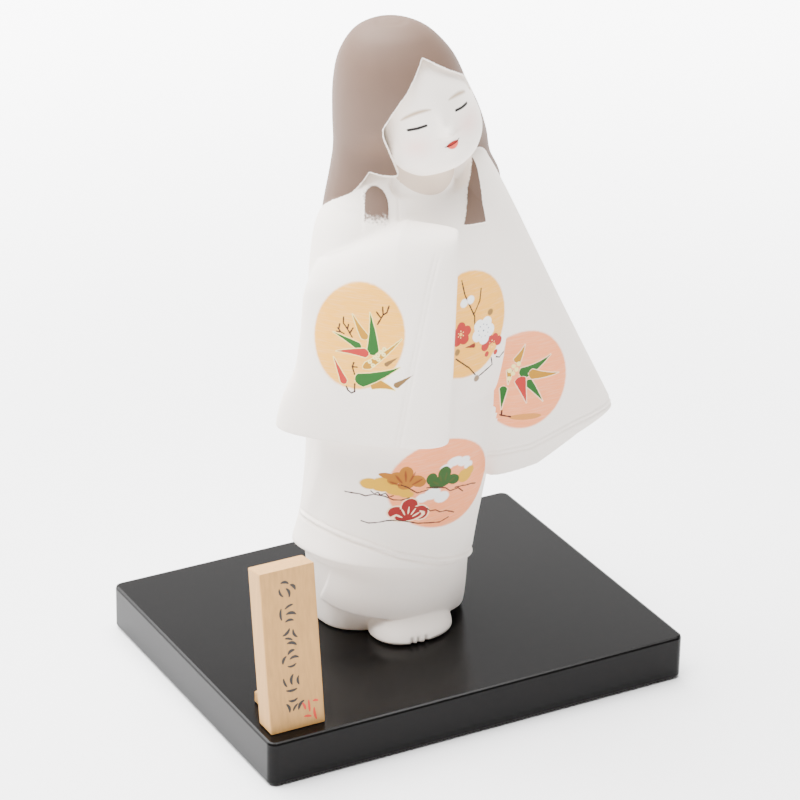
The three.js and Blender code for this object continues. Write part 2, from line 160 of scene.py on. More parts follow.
class Shader:
    """A material's nodes, filled from Python expressions."""

    def __init__(self, name: str) -> None:
        """Makes an empty material of that name."""
        self.material = bpy.data.materials.new(name)
        self.material.use_nodes = True
        self.tree = self.material.node_tree
        self.tree.nodes.clear()

    def node(self, kind: str, settings: dict | None = None, inputs: dict | None = None) -> bpy.types.Node:
        """Adds a node of any type.

        Args:
            kind: The node's type.
            settings: Its own settings, set first.
            inputs: Values or links of its sockets, by name or number.

        Returns:
            The node.
        """
        node = self.tree.nodes.new(kind)
        for name, setting in (settings or {}).items():
            setattr(node, name, setting)
        for name, fill in (inputs or {}).items():
            socket = node.inputs[name]
            if isinstance(fill, Value):
                self.tree.links.new(fill.socket, socket)
            elif isinstance(fill, Socket):
                self.tree.links.new(fill, socket)
            elif isinstance(fill, tuple) and socket.type == "RGBA":
                socket.default_value = (*fill, 1.0)
            else:
                socket.default_value = fill
        return node

    def value(self, kind: str, settings: dict | None = None, inputs: dict | None = None,
              output: str | int = 0) -> Value:
        """Adds a node and gives one of its outputs as a number.

        Args:
            kind: The node's type.
            settings: Its own settings.
            inputs: Values or links of its sockets.
            output: Name or number of the output.

        Returns:
            The output as a number.
        """
        return Value(self, self.node(kind, settings, inputs).outputs[output])

    def place(self) -> Socket:
        """The surface point's own place on the part, in metres."""
        return self.node("ShaderNodeTexCoord").outputs["Object"]

    def mapped(self, vector: Socket, at: Triple = (0, 0, 0), turn: Triple = (0, 0, 0),
               size: Triple = (1, 1, 1)) -> Socket:
        """Reads a place in turned and scaled axes.

        Args:
            vector: The place to read.
            at: The new origin.
            turn: The new axes' turns about X, Y and Z, in radians.
            size: The new axes' units.

        Returns:
            The place in the new axes.
        """
        inputs = {"Vector": vector, "Location": at, "Rotation": turn, "Scale": size}
        return self.node("ShaderNodeMapping", {"vector_type": "TEXTURE"}, inputs).outputs[0]

    def vector(self, operation: str, *operands: Socket | Triple, output: int = 0) -> Socket:
        """Adds a Vector Math node."""
        node = self.node("ShaderNodeVectorMath", {"operation": operation}, dict(enumerate(operands)))
        return node.outputs[output]

    def measure(self, operation: str, *operands: Socket | Triple) -> Value:
        """Adds a Vector Math node whose result is a number."""
        return Value(self, self.vector(operation, *operands, output=1))

    def attribute(self, name: str) -> Value:
        """A number that the mesh holds at its points."""
        settings = {"attribute_type": "GEOMETRY", "attribute_name": name}
        return self.value("ShaderNodeAttribute", settings, output="Fac")

    def noise(self, vector: Socket, scale: float, detail: float = 2.0, roughness: float = 0.5) -> Value:
        """Soft random values about 0, mostly within a half either way.

        The scale is the number of swells to a unit. Detail and roughness add finer layers.
        """
        inputs = {"Vector": vector, "Scale": scale, "Detail": detail, "Roughness": roughness}
        return self.value("ShaderNodeTexNoise", inputs=inputs) - 0.5

    def mix(self, factor: Value | float, below: Socket | Triple, above: Socket | Triple,
            blend: str = "MIX") -> Socket:
        """Lays one colour over another. The factor tells how much of the upper one shows."""
        settings = {"data_type": "RGBA", "blend_type": blend}
        return self.node("ShaderNodeMix", settings, {0: factor, 6: below, 7: above}).outputs[2]

    def grey(self, level: Value) -> Socket:
        """A grey as bright as a number."""
        return self.node("ShaderNodeCombineColor", inputs=dict.fromkeys(range(3), level)).outputs[0]

    def lightened(self, colour: Socket | Triple, amount: Value) -> Socket:
        """Makes a colour lighter or darker by a share that changes over the surface."""
        return self.mix(1.0, colour, self.grey(amount + 1), "MULTIPLY")

    def bump(self, height: Value, distance: float, strength: float = 1.0) -> Socket:
        """Fine relief for the Normal socket, where a height of 1 stands for the distance, in metres."""
        inputs = {"Height": height, "Distance": distance, "Strength": strength}
        return self.node("ShaderNodeBump", inputs=inputs).outputs[0]

    def surface(self, **sockets: Fill) -> bpy.types.Material:
        """Ends the material in a surface.

        Args:
            **sockets: Values or links of the surface's sockets, with _ for each space.

        Returns:
            The finished material.
        """
        inputs = {name.replace("_", " "): fill for name, fill in sockets.items()}
        surface = self.node("ShaderNodeBsdfPrincipled", inputs=inputs)
        output = self.node("ShaderNodeOutputMaterial")
        self.tree.links.new(surface.outputs[0], output.inputs["Surface"])
        return self.material


def soft_step(value: Grid, start: float, end: float) -> Grid:
    """Rises smoothly from 0 at start to 1 at end."""
    share = np.clip((value - start) / (end - start), 0, 1)
    return share * share * (3 - 2 * share)


def joined(first: Grid, second: Grid, blend: Grid | float) -> Grid:
    """Distance to the nearer of two forms, which melt into each other over the blend's width."""
    near = np.maximum(blend - np.abs(first - second), 0)
    return np.minimum(first, second) - near * near / (4 * np.maximum(blend, 1e-6))


def shared(first: Grid, second: Grid, blend: Grid | float) -> Grid:
    """Distance to what two forms have in common, with the edge between them rounded."""
    return -joined(-first, -second, blend)


def swelling(across: Grid, up: Grid, centre: Pair, radii: Pair) -> Grid:
    """Height of a soft round swelling with a height of 1 at its centre."""
    return np.exp(-((across - centre[0]) / radii[0]) ** 2 - ((up - centre[1]) / radii[1]) ** 2)


def line_ridge(value: Grid, centre: float, width: float) -> Grid:
    """Height of a soft ridge along a line, 1 at its middle."""
    return np.exp(-((value - centre) / width) ** 2)


@dataclass(frozen=True)
class Place:
    """Where a form stands on the figure: its origin in units and its turns in degrees."""

    at: Triple = (0.0, 0.0, 0.0)
    nod: float = 0.0
    lean: float = 0.0
    turn: float = 0.0

    @cached_property
    def turned(self) -> Matrix:
        """Rotation from the form's own axes to the figure's."""
        turn = Matrix.Rotation(radians(self.turn), 3, "Z")
        nod = Matrix.Rotation(radians(self.nod), 3, "X")
        return turn @ nod @ Matrix.Rotation(radians(self.lean), 3, "Y")

    def inward(self, points: Points) -> Points:
        """Turns places on the figure into places in the form's own axes."""
        offsets = [points[axis] - np.float32(self.at[axis]) for axis in range(3)]
        return tuple(self._along(self.turned.col[axis], offsets) for axis in range(3))

    @staticmethod
    def _along(direction: Vector, offsets: list[Grid]) -> Grid:
        """Distance along one axis, from only the terms that count."""
        terms = [np.float32(share) * offset for share, offset in zip(direction, offsets) if abs(share) > 1e-6]
        return sum(terms[1:], terms[0])

    def outward(self, points: Grid) -> Grid:
        """Turns rows of places in the form's own axes into places on the figure."""
        return points @ np.array(self.turned).T + np.array(self.at)


class Paint(Enum):
    """The painter's colours."""

    BODY = linear(243, 234, 225)
    HAIR = seen(156, 140, 129)
    OCHRE = seen(238, 198, 118)
    SALMON = seen(250, 184, 150)
    PALE = seen(250, 222, 184)
    PINK_RIM = seen(251, 216, 200)
    GREEN = seen(88, 146, 84)
    GOLD = linear(168, 117, 0)
    CORAL = seen(196, 104, 96)
    TAUPE = seen(166, 146, 112)
    BROWN = seen(122, 74, 66)
    TWIG = seen(112, 60, 50)
    RUST = seen(168, 96, 62)
    SHELL = seen(238, 241, 242)
    STAMEN = seen(128, 138, 160)
    PINE_GOLD = linear(160, 98, 10)
    PINE_BROWN = seen(160, 98, 48)
    PINE_GREEN = seen(108, 140, 86)
    PINE_OLIVE = seen(138, 136, 84)
    PINE_RED = seen(178, 86, 82)
    YELLOW = linear(204, 154, 14)
    CLOUD = seen(232, 231, 229)
    LASH = seen(66, 54, 56)
    # The brows' paint, also laid as a painted shade under the nose.
    BROW_AND_NOSE_SHADE = seen(186, 168, 142)
    LIP = seen(190, 94, 82)
    LOWER_LIP = seen(222, 148, 134)
    LIP_LINE = seen(104, 60, 60)
    CHEEK = seen(238, 204, 200)
    INK = linear(22, 17, 15)
    RED_INK = seen(214, 74, 66)
    # Painted shade: a darker, warmer colour for the neck, where it lies in the chin's shadow.
    NECK = linear(208, 188, 170)
    TAN = seen(212, 176, 126)
    WOOD = seen(204, 180, 140)


def nearest(distances: Iterable[Value]) -> Value:
    """The smallest of a row of numbers, each worked out as it is reached."""
    return reduce(Value.least, distances)


class Brush:
    """A flat place to draw on. A shape is the distance from its edge, negative inside it."""

    def __init__(self, shader: Shader, flat: Socket) -> None:
        """Takes up the shader to draw in and the flat place, across and up."""
        self.shader = shader
        self.flat = flat

    def offset(self, start: Pair) -> Socket:
        """The way from a point."""
        return self.shader.vector("SUBTRACT", self.flat, (*start, 0.0))

    def across(self, start: Pair, direction: Vector, unit: float) -> Value:
        """Distance from a point in one direction, counted in units of its own."""
        share = (direction.x / unit, direction.y / unit, 0.0)
        return self.shader.measure("DOT_PRODUCT", self.offset(start), share)

    def line(self, start: Pair, end: Pair, width: float) -> Value:
        """A straight line with round ends."""
        run = Vector(end) - Vector(start)
        share = self.across(start, run, run.length_squared)
        clamped = {"operation": "ADD", "use_clamp": True}
        kept = self.shader.value("ShaderNodeMath", clamped, {0: share, 1: 0.0})
        inputs = {0: (*run, 0.0), "Scale": kept}
        reached = self.shader.node("ShaderNodeVectorMath", {"operation": "SCALE"}, inputs).outputs[0]
        return self.shader.measure("DISTANCE", self.offset(start), reached) - width / 2


@dataclass(frozen=True)
class Leaf:
    """One press of the brush: a pointed leaf with a blunt foot.

    Its bow is how far its middle is pushed to the left of the way from tip to foot.
    """

    tip: Pair
    foot: Pair
    width: float
    bow: float = 0.0

    BLUNTNESS = 9
    FULLNESS = 1.55

    def half(self, onward: Value, rest: Value) -> Value:
        """Half the width, by the shares of the way that lie behind and ahead."""
        return onward * (rest * self.BLUNTNESS).least(1).root() * (self.width / self.FULLNESS)

    def draw(self, brush: Brush) -> Value:
        """Distance from the edge."""
        run = Vector(self.foot) - Vector(self.tip)
        share = brush.across(self.tip, run, run.length_squared)
        across = brush.across(self.tip, run.orthogonal(), run.length)
        onward = share.most(0.0)
        rest = (1 - onward).most(0.0)
        if self.bow:
            across = across - onward * rest * (4 * self.bow)
        past = (abs(share - 0.5) - 0.5) * run.length
        return (abs(across) - self.half(onward, rest)).most(past)


class Lens(Leaf):
    """A stroke that is pointed at both ends."""

    def half(self, onward: Value, rest: Value) -> Value:
        """Half the width, by the shares of the way that lie behind and ahead."""
        return (onward * rest).root() * self.width


class Twig:
    """A thin line through a few points."""

    def __init__(self, *points: Pair, width: float = 0.24) -> None:
        """Takes the line's points and its width."""
        self.points = points
        self.width = width

    def draw(self, brush: Brush) -> Value:
        """Distance from the edge."""
        return nearest(brush.line(start, end, self.width) for start, end in zip(self.points, self.points[1:]))


@dataclass(frozen=True)
class Spot:
    """An oval spot, with its two radii and its turn in degrees."""

    at: Pair
    radii: Pair
    turn: float = 0.0

    def draw(self, brush: Brush) -> Value:
        """Distance from the edge."""
        if self.radii[0] == self.radii[1]:
            return brush.shader.measure("DISTANCE", brush.flat, (*self.at, 0.0)) - self.radii[0]
        axis = Vector((cos(radians(self.turn)), sin(radians(self.turn))))
        along = brush.across(self.at, axis, self.radii[0])
        across = brush.across(self.at, axis.orthogonal(), self.radii[1])
        return ((along * along + across * across).root() - 1) * min(self.radii)


def ovals(*shapes: tuple[float, ...]) -> tuple[Spot, ...]:
    """Oval spots, each given by its middle, its two radii and, where it has one, its turn."""
    return tuple(Spot(shape[:2], shape[2:4], *shape[4:]) for shape in shapes)


def leaves(*shapes: tuple[float, ...]) -> tuple[Leaf, ...]:
    """Leaves, each given by its tip, its foot, its width and, where it has one, its bow."""
    return tuple(Leaf(shape[:2], shape[2:4], *shape[4:]) for shape in shapes)


def dots(radius: float, *places: Pair) -> tuple[Spot, ...]:
    """Round spots of one size."""
    return tuple(Spot(place, (radius, radius)) for place in places)


def ring(middle: Pair, radius: float, size: float, count: int, turn: float = 90.0) -> tuple[Spot, ...]:
    """Round spots in a ring, such as a blossom's petals.

    Args:
        middle: The ring's middle.
        radius: The ring's radius.
        size: Each spot's radius.
        count: How many there are.
        turn: Where the first one is, in degrees from the right.

    Returns:
        The spots.
    """
    angles = [radians(turn + 360 * number / count) for number in range(count)]
    return dots(size, *((middle[0] + radius * cos(a), middle[1] + radius * sin(a)) for a in angles))


def fan(foot: Pair, start: float, end: float, width: float, *angles: float) -> tuple[Lens, ...]:
    """Short strokes that spread from one point.

    Args:
        foot: The point.
        start: How far from it they start.
        end: How far from it they end.
        width: Their width.
        *angles: Their directions, in degrees from the right.

    Returns:
        The strokes.
    """
    x, y = foot
    rays = [(cos(radians(angle)), sin(radians(angle))) for angle in angles]
    return tuple(Lens((x + start * u, y + start * v), (x + end * u, y + end * v), width) for u, v in rays)


Mark = Leaf | Twig | Spot


@dataclass(frozen=True)
class Layer:
    """Marks of one colour.

    Where there is a rim, a pale line is left round each mark.
    """

    paint: Paint
    marks: tuple[Mark, ...]
    rim: Paint | None = None
    rim_width: float = 0.13
    edge: float = 0.05
    cover: float = 1.0
    streaks: float = 0.0

    def draw(self, brush: Brush) -> Iterator[Value]:
        """Distances from the edges of what is laid on at once."""
        distances = (mark.draw(brush) for mark in self.marks)
        return distances if self.rim else iter([nearest(distances)])


def ground(paint: Paint, *shape: float) -> Layer:
    """The streaky oval that a picture is painted on, by its middle, its radii and its turn."""
    return Layer(paint, ovals(shape), edge=0.22, streaks=0.6)


@dataclass(frozen=True)
class Picture:
    """A painted picture, laid out in units of the figure on a flat that faces out of its place."""

    carrier: str
    place: Place
    layers: tuple[Layer, ...]
    low: Pair
    high: Pair
    depth: float = 6.0
    waver: float = 0.14

    FACING = 0.1

    @property
    def attribute(self) -> str:
        """Name of the number that tells where the carrier's own surface is."""
        return f"{self.carrier}_shows"

    def _upright(self) -> Matrix:
        """Axes of the flat: across, up and out."""
        return self.place.turned @ Matrix.Rotation(radians(90), 3, "X")

    def flat(self, shader: Shader, unit: float, base: float) -> Socket:
        """The surface point's place in the picture, across and up.

        Args:
            shader: The shader to work in.
            unit: Metres to a unit.
            base: Height of the figure's foot in metres.

        Returns:
            The place.
        """
        x, y, z = self.place.at
        turn = tuple(self._upright().to_euler())
        local = shader.mapped(shader.place(), (x * unit, y * unit, z * unit + base), turn, (unit, unit, unit))
        return shader.vector("MULTIPLY", local, (1.0, 1.0, 0.0))

    def on_face(self, shader: Shader, unit: float) -> Value:
        """Where the surface is the flat itself, and not what lies behind it."""
        offset = shader.vector("SUBTRACT", shader.place(), tuple(unit * length for length in self.place.at))
        outward = tuple(self._upright().col[2])
        return shader.measure("DOT_PRODUCT", offset, outward).rising(-3 * unit, -2 * unit)

    def covers(self, centres: Grid, normals: Grid) -> Grid:
        """Which faces the picture may reach.

        Args:
            centres: The faces' centres, in units of the figure.
            normals: Their directions.

        Returns:
            True for each face that it may reach.
        """
        axes = np.array(self._upright())
        across, up, out = ((centres - np.array(self.place.at)) @ axes).T
        inside = (across > self.low[0]) & (across < self.high[0]) & (up > self.low[1]) & (up < self.high[1])
        return inside & (np.abs(out) < self.depth) & (normals @ axes[:, 2] > self.FACING)


class Coat:
    """Colour on a surface, laid on layer by layer."""

    WAVES = 1.7
    STREAK_SHAPE = (0.2, 2.5, 1.0)

    def __init__(self, shader: Shader, paint: Paint) -> None:
        """Lays the ground in one paint."""
        self.shader = shader
        self.colour: Socket | Triple = paint.value

    def lay(self, paint: Paint, cover: Value | float) -> None:
        """Lays a paint over what is there."""
        self.colour = self.shader.mix(cover, self.colour, paint.value)

    def tint(self, amount: Value) -> None:
        """Makes what is there lighter or darker in places."""
        self.colour = self.shader.lightened(self.colour, amount)

    def show(self, picture: Picture, flat: Socket, within: Value | None) -> None:
        """Paints a picture.

        Args:
            picture: The picture.
            flat: The surface point's place in it.
            within: Where its carrier shows, if anything may cover it.
        """
        brush = Brush(self.shader, flat)
        waver = self.shader.noise(flat, self.WAVES, 2) * picture.waver
        for layer in picture.layers:
            for distance in layer.draw(brush):
                wavering = distance + waver
                if layer.rim:
                    rim = wavering.rising(layer.rim_width + layer.edge, layer.rim_width - layer.edge)
                    self.lay(layer.rim, rim * within if within else rim)
                cover = wavering.rising(layer.edge, -layer.edge, layer.cover)
                if layer.streaks:
                    drawn_out = self.shader.vector("MULTIPLY", flat, self.STREAK_SHAPE)
                    cover = cover * (1 - abs(self.shader.noise(drawn_out, 1.0, 3)) * layer.streaks)
                self.lay(layer.paint, cover * within if within else cover)


@dataclass(frozen=True)
class Loft:
    """A closed form drawn over a stack of rounded outlines.

    A level holds its height, its middle across and along, its half width, its half depth in
    front and behind, and its squareness, where 2 is an ellipse.
    """

    levels: tuple[Level, ...]
    place: Place = Place()
    edge: float = 0.4
    blend: float = 0.15
    margin: float = 2.5

    SMOOTHING = 12
    ROWS = 512
    LEAST = 1e-3

    @cached_property
    def table(self) -> Grid:
        """The levels, filled in smoothly at many even heights."""
        levels = np.array(self.levels)
        padded = np.vstack([levels[:1], levels, levels[-1:]])
        t = np.linspace(0, 1, self.SMOOTHING, endpoint=False)[:, None]
        stretches = []
        for before, start, end, after in zip(padded, padded[1:], padded[2:], padded[3:]):
            rise, fall = (end - before) / 2, (after - start) / 2
            stretches.append((2 * t**3 - 3 * t**2 + 1) * start + (t**3 - 2 * t**2 + t) * rise
                             + (3 * t**2 - 2 * t**3) * end + (t**3 - t**2) * fall)
        curve = np.vstack([*stretches, levels[-1:]])
        heights = np.maximum.accumulate(curve[:, 0])
        even = np.linspace(heights[0], heights[-1], self.ROWS)
        columns = [np.interp(even, heights, column) for column in curve[:, 1:].T]
        return np.column_stack(columns).astype(np.float32)

    def profile(self, heights: Grid) -> list[Grid]:
        """The six measures of the outline at the given heights."""
        low, high = self.levels[0][0], self.levels[-1][0]
        spot = np.clip((heights - low) / (high - low), 0, 1) * (self.ROWS - 1)
        row = np.minimum(spot.astype(np.int32), self.ROWS - 2)
        rest = (spot - row).astype(np.float32)
        return [column[row] * (1 - rest) + column[row + 1] * rest for column in self.table.T]

    def unshaped(self, x: Grid, y: Grid, z: Grid) -> Points:
        """Takes a place on the shaped form back to the plain stack."""
        return x, y, z

    def relief(self, x: Grid, y: Grid, z: Grid) -> Grid | float:
        """How far the surface stands out of the plain stack there."""
        return 0.0

    def trimmed(self, distance: Grid, x: Grid, y: Grid, z: Grid) -> Grid:
        """Cuts away what the form doesn't have."""
        return distance

    def distance(self, points: Points) -> Grid:
        """Distance of places on the figure from the form's surface, negative inside it."""
        x, y, z = self.unshaped(*self.place.inward(points))
        middle_x, middle_y, half_width, front, back, squareness = self.profile(z)
        along = y - middle_y
        half_depth = np.where(along < 0, front, back)
        across_share = np.maximum(np.abs(x - middle_x) / half_width, self.LEAST)
        along_share = np.maximum(np.abs(along) / half_depth, self.LEAST)
        across_power = across_share ** (squareness - 1)
        along_power = along_share ** (squareness - 1)
        ratio = (across_power * across_share + along_power * along_share) ** (1 / squareness)
        slope = ratio ** (1 - squareness) * np.hypot(across_power / half_width, along_power / half_depth)
        side = (ratio - 1) / slope - self.relief(x, y, z)
        low, high = self.levels[0][0], self.levels[-1][0]
        ends = np.maximum(low - z, z - high)
        return self.trimmed(shared(side, ends, self.edge), x, y, z)

    def extent(self) -> tuple[Grid, Grid]:
        """Lowest and highest corner of the space that the form may reach."""
        corners = [(x + side * width, y + depth, z) for z, x, y, width, front, back, _ in self.levels
                   for side in (-1, 1) for depth in (-front, back)]
        placed = self.place.outward(np.array(corners))
        return placed.min(0) - self.margin, placed.max(0) + self.margin


@dataclass(frozen=True)
class Outline:
    """A closed flat shape, bounded by straight and bowed stretches."""

    start: Pair
    stretches: tuple[tuple[Pair, ...], ...]

    CELL = 0.1
    STEPS = 8
    SPARE = 4.0

    @cached_property
    def corners(self) -> Grid:
        """Corners of the outline. A stretch is its end, or a guiding point and its end."""
        points = [np.array(self.start, float)]
        for stretch in self.stretches:
            begin, end = points[-1], np.array(stretch[-1], float)
            if len(stretch) == 1:
                points.append(end)
                continue
            guide = np.array(stretch[0], float)
            for t in np.linspace(0, 1, self.STEPS + 1)[1:]:
                points.append((1 - t) ** 2 * begin + 2 * t * (1 - t) * guide + t**2 * end)
        return np.array(points[:-1] if np.allclose(points[0], points[-1]) else points)

    @cached_property
    def origin(self) -> Grid:
        """Lowest corner of the table of distances."""
        return self.corners.min(0) - self.SPARE

    @cached_property
    def table(self) -> Grid:
        """Distances from the edge on an even grid, negative inside."""
        size = ((self.corners.max(0) + self.SPARE - self.origin) / self.CELL).astype(int) + 2
        x = self.origin[0] + self.CELL * np.arange(size[0])[:, None]
        y = self.origin[1] + self.CELL * np.arange(size[1])[None, :]
        nearest = np.full((size[0], size[1]), np.inf)
        inside = np.zeros(nearest.shape, bool)
        for begin, end in zip(self.corners, np.roll(self.corners, -1, 0)):
            run = end - begin
            share = ((x - begin[0]) * run[0] + (y - begin[1]) * run[1]) / max(float(run @ run), 1e-9)
            share = np.clip(share, 0, 1)
            gap = np.hypot(x - begin[0] - share * run[0], y - begin[1] - share * run[1])
            nearest = np.minimum(nearest, gap)
            crosses = (begin[1] > y) != (end[1] > y)
            rise = run[1] if abs(run[1]) > 1e-9 else 1e-9
            inside ^= crosses & (x < begin[0] + (y - begin[1]) * run[0] / rise)
        return np.where(inside, -nearest, nearest).astype(np.float32)

    def distance(self, across: Grid, up: Grid) -> Grid:
        """Distance of flat places from the edge, negative inside."""
        table = self.table
        column = np.clip((across - self.origin[0]) / self.CELL, 0, table.shape[0] - 1.001)
        row = np.clip((up - self.origin[1]) / self.CELL, 0, table.shape[1] - 1.001)
        i, j = column.astype(np.int32), row.astype(np.int32)
        s, t = column - i, row - j
        lower = table[i, j] * (1 - s) + table[i + 1, j] * s
        upper = table[i, j + 1] * (1 - s) + table[i + 1, j + 1] * s
        return lower * (1 - t) + upper * t


BODY = Place(at=(-0.8, 1.4, 0), turn=6)
HEAD = Place(at=(3.2, -0.8, 86.8), nod=-2, lean=-22, turn=-16)
LEFT_ARM = Place(at=(14.0, 1, 78.6), nod=-6, lean=-25)
RIGHT_ARM = Place(at=(-10.6, -6.6, 37.2), turn=-41)

FLAP_HEM = 2.6
MIDDLE_HEM = 13.2
OUTER_HEM = 11.9
SASH_FOLD = 39.5


@dataclass(frozen=True)
class UnderRobe(Loft):
    """The innermost robe, which stands on the board and is drawn in above its foot in front."""

    levels: tuple[Level, ...] = (
        (0, -0.2, 1.6, 11.5, 7.6, 8.6, 2.3),
        (4, -0.3, 1.2, 11.9, 8.5, 9.2, 2.3),
        (12, -0.5, 0.4, 12.9, 10.0, 10.8, 2.3),
        (20, -0.4, 0, 13.0, 10.4, 11, 2.3),
    )
    place: Place = BODY
    edge: float = 0.1


@dataclass(frozen=True)
class FrontFlap(Loft):
    """The robe's front flap, wrapped over the innermost robe, with a free edge on the right."""

    levels: tuple[Level, ...] = (
        (FLAP_HEM, 0, 0.2, 12.1, 10.2, 10.2, 2.3),
        (FLAP_HEM + 0.7, 0, 0.2, 12.5, 10.6, 10.8, 2.3),
        (8, -0.2, 0, 13.0, 10.9, 11.2, 2.3),
        (18, -0.2, 0, 13.9, 11.1, 11.4, 2.3),
    )
    place: Place = BODY
    hem_slope: float = 0.17
    level_between: Pair = (3.8, 10)
    free_edge: float = -13.8
    free_edge_rise: float = 0.23
    free_edge_run: float = 0.7

    def unshaped(self, x: Grid, y: Grid, z: Grid) -> Points:
        """Levels the hem, which drops towards the figure's left."""
        return x, y, z + self.hem_slope * x * (1 - soft_step(z, *self.level_between))

    def trimmed(self, distance: Grid, x: Grid, y: Grid, z: Grid) -> Grid:
        """Ends the flap at its free edge."""
        return shared(distance, self.free_edge + self.free_edge_rise * z + self.free_edge_run * y - x, 0.3)


@dataclass(frozen=True)
class MiddleRobe(Loft):
    """The robe's middle layer, which shows as a second edge below the outer hem."""

    levels: tuple[Level, ...] = (
        (MIDDLE_HEM, -1.0, 0, 12.7, 11.2, 11.6, 2.3),
        (MIDDLE_HEM + 0.6, -1.1, 0, 13.3, 11.6, 12.0, 2.3),
        (MIDDLE_HEM + 6, -0.6, 0, 13.5, 11.4, 11.8, 2.3),
    )
    place: Place = BODY
    margin: float = 7.5
    hem_slope: float = 0.25
    hem_level_at: float = -12

    def unshaped(self, x: Grid, y: Grid, z: Grid) -> Points:
        """Levels the hem, which rises towards the figure's left."""
        return x, y, z - self.hem_slope * (x - self.hem_level_at)


@dataclass(frozen=True)
class OuterRobe(Loft):
    """The outer robe's skirt. Its padded hem rises towards the figure's right and its front."""

    levels: tuple[Level, ...] = (
        (OUTER_HEM, -1.2, 0, 13.9, 12.0, 12.2, 2.4),
        (OUTER_HEM + 0.8, -1.2, 0, 14.2, 12.2, 12.4, 2.4),
        (18, 0.0, 0, 14.3, 12.1, 12.2, 2.3),
        (27, 1.4, -0.2, 15.1, 12.0, 12, 2.3),
        (36, 2.4, -0.2, 15.8, 11.8, 12, 2.3),
        (42, 2.8, -0.2, 15.6, 11.2, 11.6, 2.3),
    )
    place: Place = BODY
    edge: float = 0.25
    margin: float = 5.0
    slope_fades_over: float = 16.0
    band_across: tuple[float, ...] = (-14.3, -10.5, -6.0, 1.3, 8.0)
    band_height: tuple[float, ...] = (5.7, 4.25, 2.4, 0.6, 0.3)
    band_width: float = 1.2
    line_width: float = 0.26
    lines_fade_between: Pair = (-7, -3)
    side_width: float = 3.2

    def unshaped(self, x: Grid, y: Grid, z: Grid) -> Points:
        """Levels the sloping hem."""
        tilt = -0.22 * x - 0.13 * (y + 8.2)
        full = OUTER_HEM + self.slope_fades_over
        level = (z - tilt * full / self.slope_fades_over) / (1 - tilt / self.slope_fades_over)
        return x, y, np.where(level < full, level, z)

    def relief(self, x: Grid, y: Grid, z: Grid) -> Grid:
        """The two pressed lines that climb away from the padded hem, and the soft edge of the side.

        The lines end where the figure's back begins.
        """
        rise = z - OUTER_HEM - np.interp(x, self.band_across, self.band_height)
        lower, upper = (line_ridge(rise, middle, self.line_width) for middle in (0, self.band_width))
        lines = lower + 0.8 * upper
        band = line_ridge(rise, self.band_width / 2, 0.4)
        along = y + 2.0 - 0.3 * (33.5 - z)
        swell = np.maximum(0, 1 - np.hypot(along, 0.5) / self.side_width)
        side = np.where(x < 0, swell, 0) * soft_step(z, 16, 24)
        front = soft_step(-y, *self.lines_fade_between)
        return (0.2 * band - 0.45 * lines) * front + 0.45 * side


@dataclass(frozen=True)
class Torso(Loft):
    """The robe's upper part, from the fold over the sash to the steep shoulders."""

    levels: tuple[Level, ...] = (
        (SASH_FOLD - 0.6, 2.8, 0, 15.0, 11.0, 11, 2.3),
        (SASH_FOLD + 0.9, 2.9, 0, 16.3, 11.9, 11, 2.3),
        (48, 4.3, 0, 17.7, 11.7, 11, 2.3),
        (58, 4.5, 0, 17.4, 11.3, 10.6, 2.3),
        (66, 3.8, 0.2, 15.9, 10.4, 9.8, 2.3),
        (70, 3.5, 0.2, 14.5, 9.4, 9.0, 2.2),
        (74.5, 4.4, 0.6, 11.6, 7.0, 7.4, 2.1),
        (77, 5.5, 0.8, 9.3, 5.0, 6.0, 2.1),
        (79.5, 6.2, 0.8, 7.1, 4.0, 5.0, 2.0),
    )
    place: Place = BODY
    blend: float = 0.4
    line_depth: float = 0.14
    lines_start_between: Pair = (66, 68)

    def relief(self, x: Grid, y: Grid, z: Grid) -> Grid:
        """The pressed lines on both sides of the neckband."""
        bands = ((x + 3.3 + 0.34 * (73.6 - z)), (x - 7.2 + 0.3 * (74 - z)))
        lines = sum(line_ridge(band, 0, 0.2) + 0.6 * line_ridge(band, 0.55, 0.18) for band in bands)
        return -self.line_depth * lines * soft_step(z, *self.lines_start_between) * (y < 0)


@dataclass(frozen=True)
class RightShoulder(Loft):
    """The right shoulder and upper arm, down to the bent elbow inside the sleeve."""

    levels: tuple[Level, ...] = (
        (44, -10.6, -1.6, 4.8, 6.6, 6.0, 2.2),
        (56, -10.4, -1.6, 5.4, 7.6, 6.6, 2.2),
        (64, -9.6, -0.6, 5.2, 7.0, 6.6, 2.2),
        (69.2, -7.8, 1.2, 5.0, 5.4, 5.6, 2.1),
        (71.6, -6.4, 1.6, 3.6, 4.0, 4.2, 2),
    )
    blend: float = 2.5


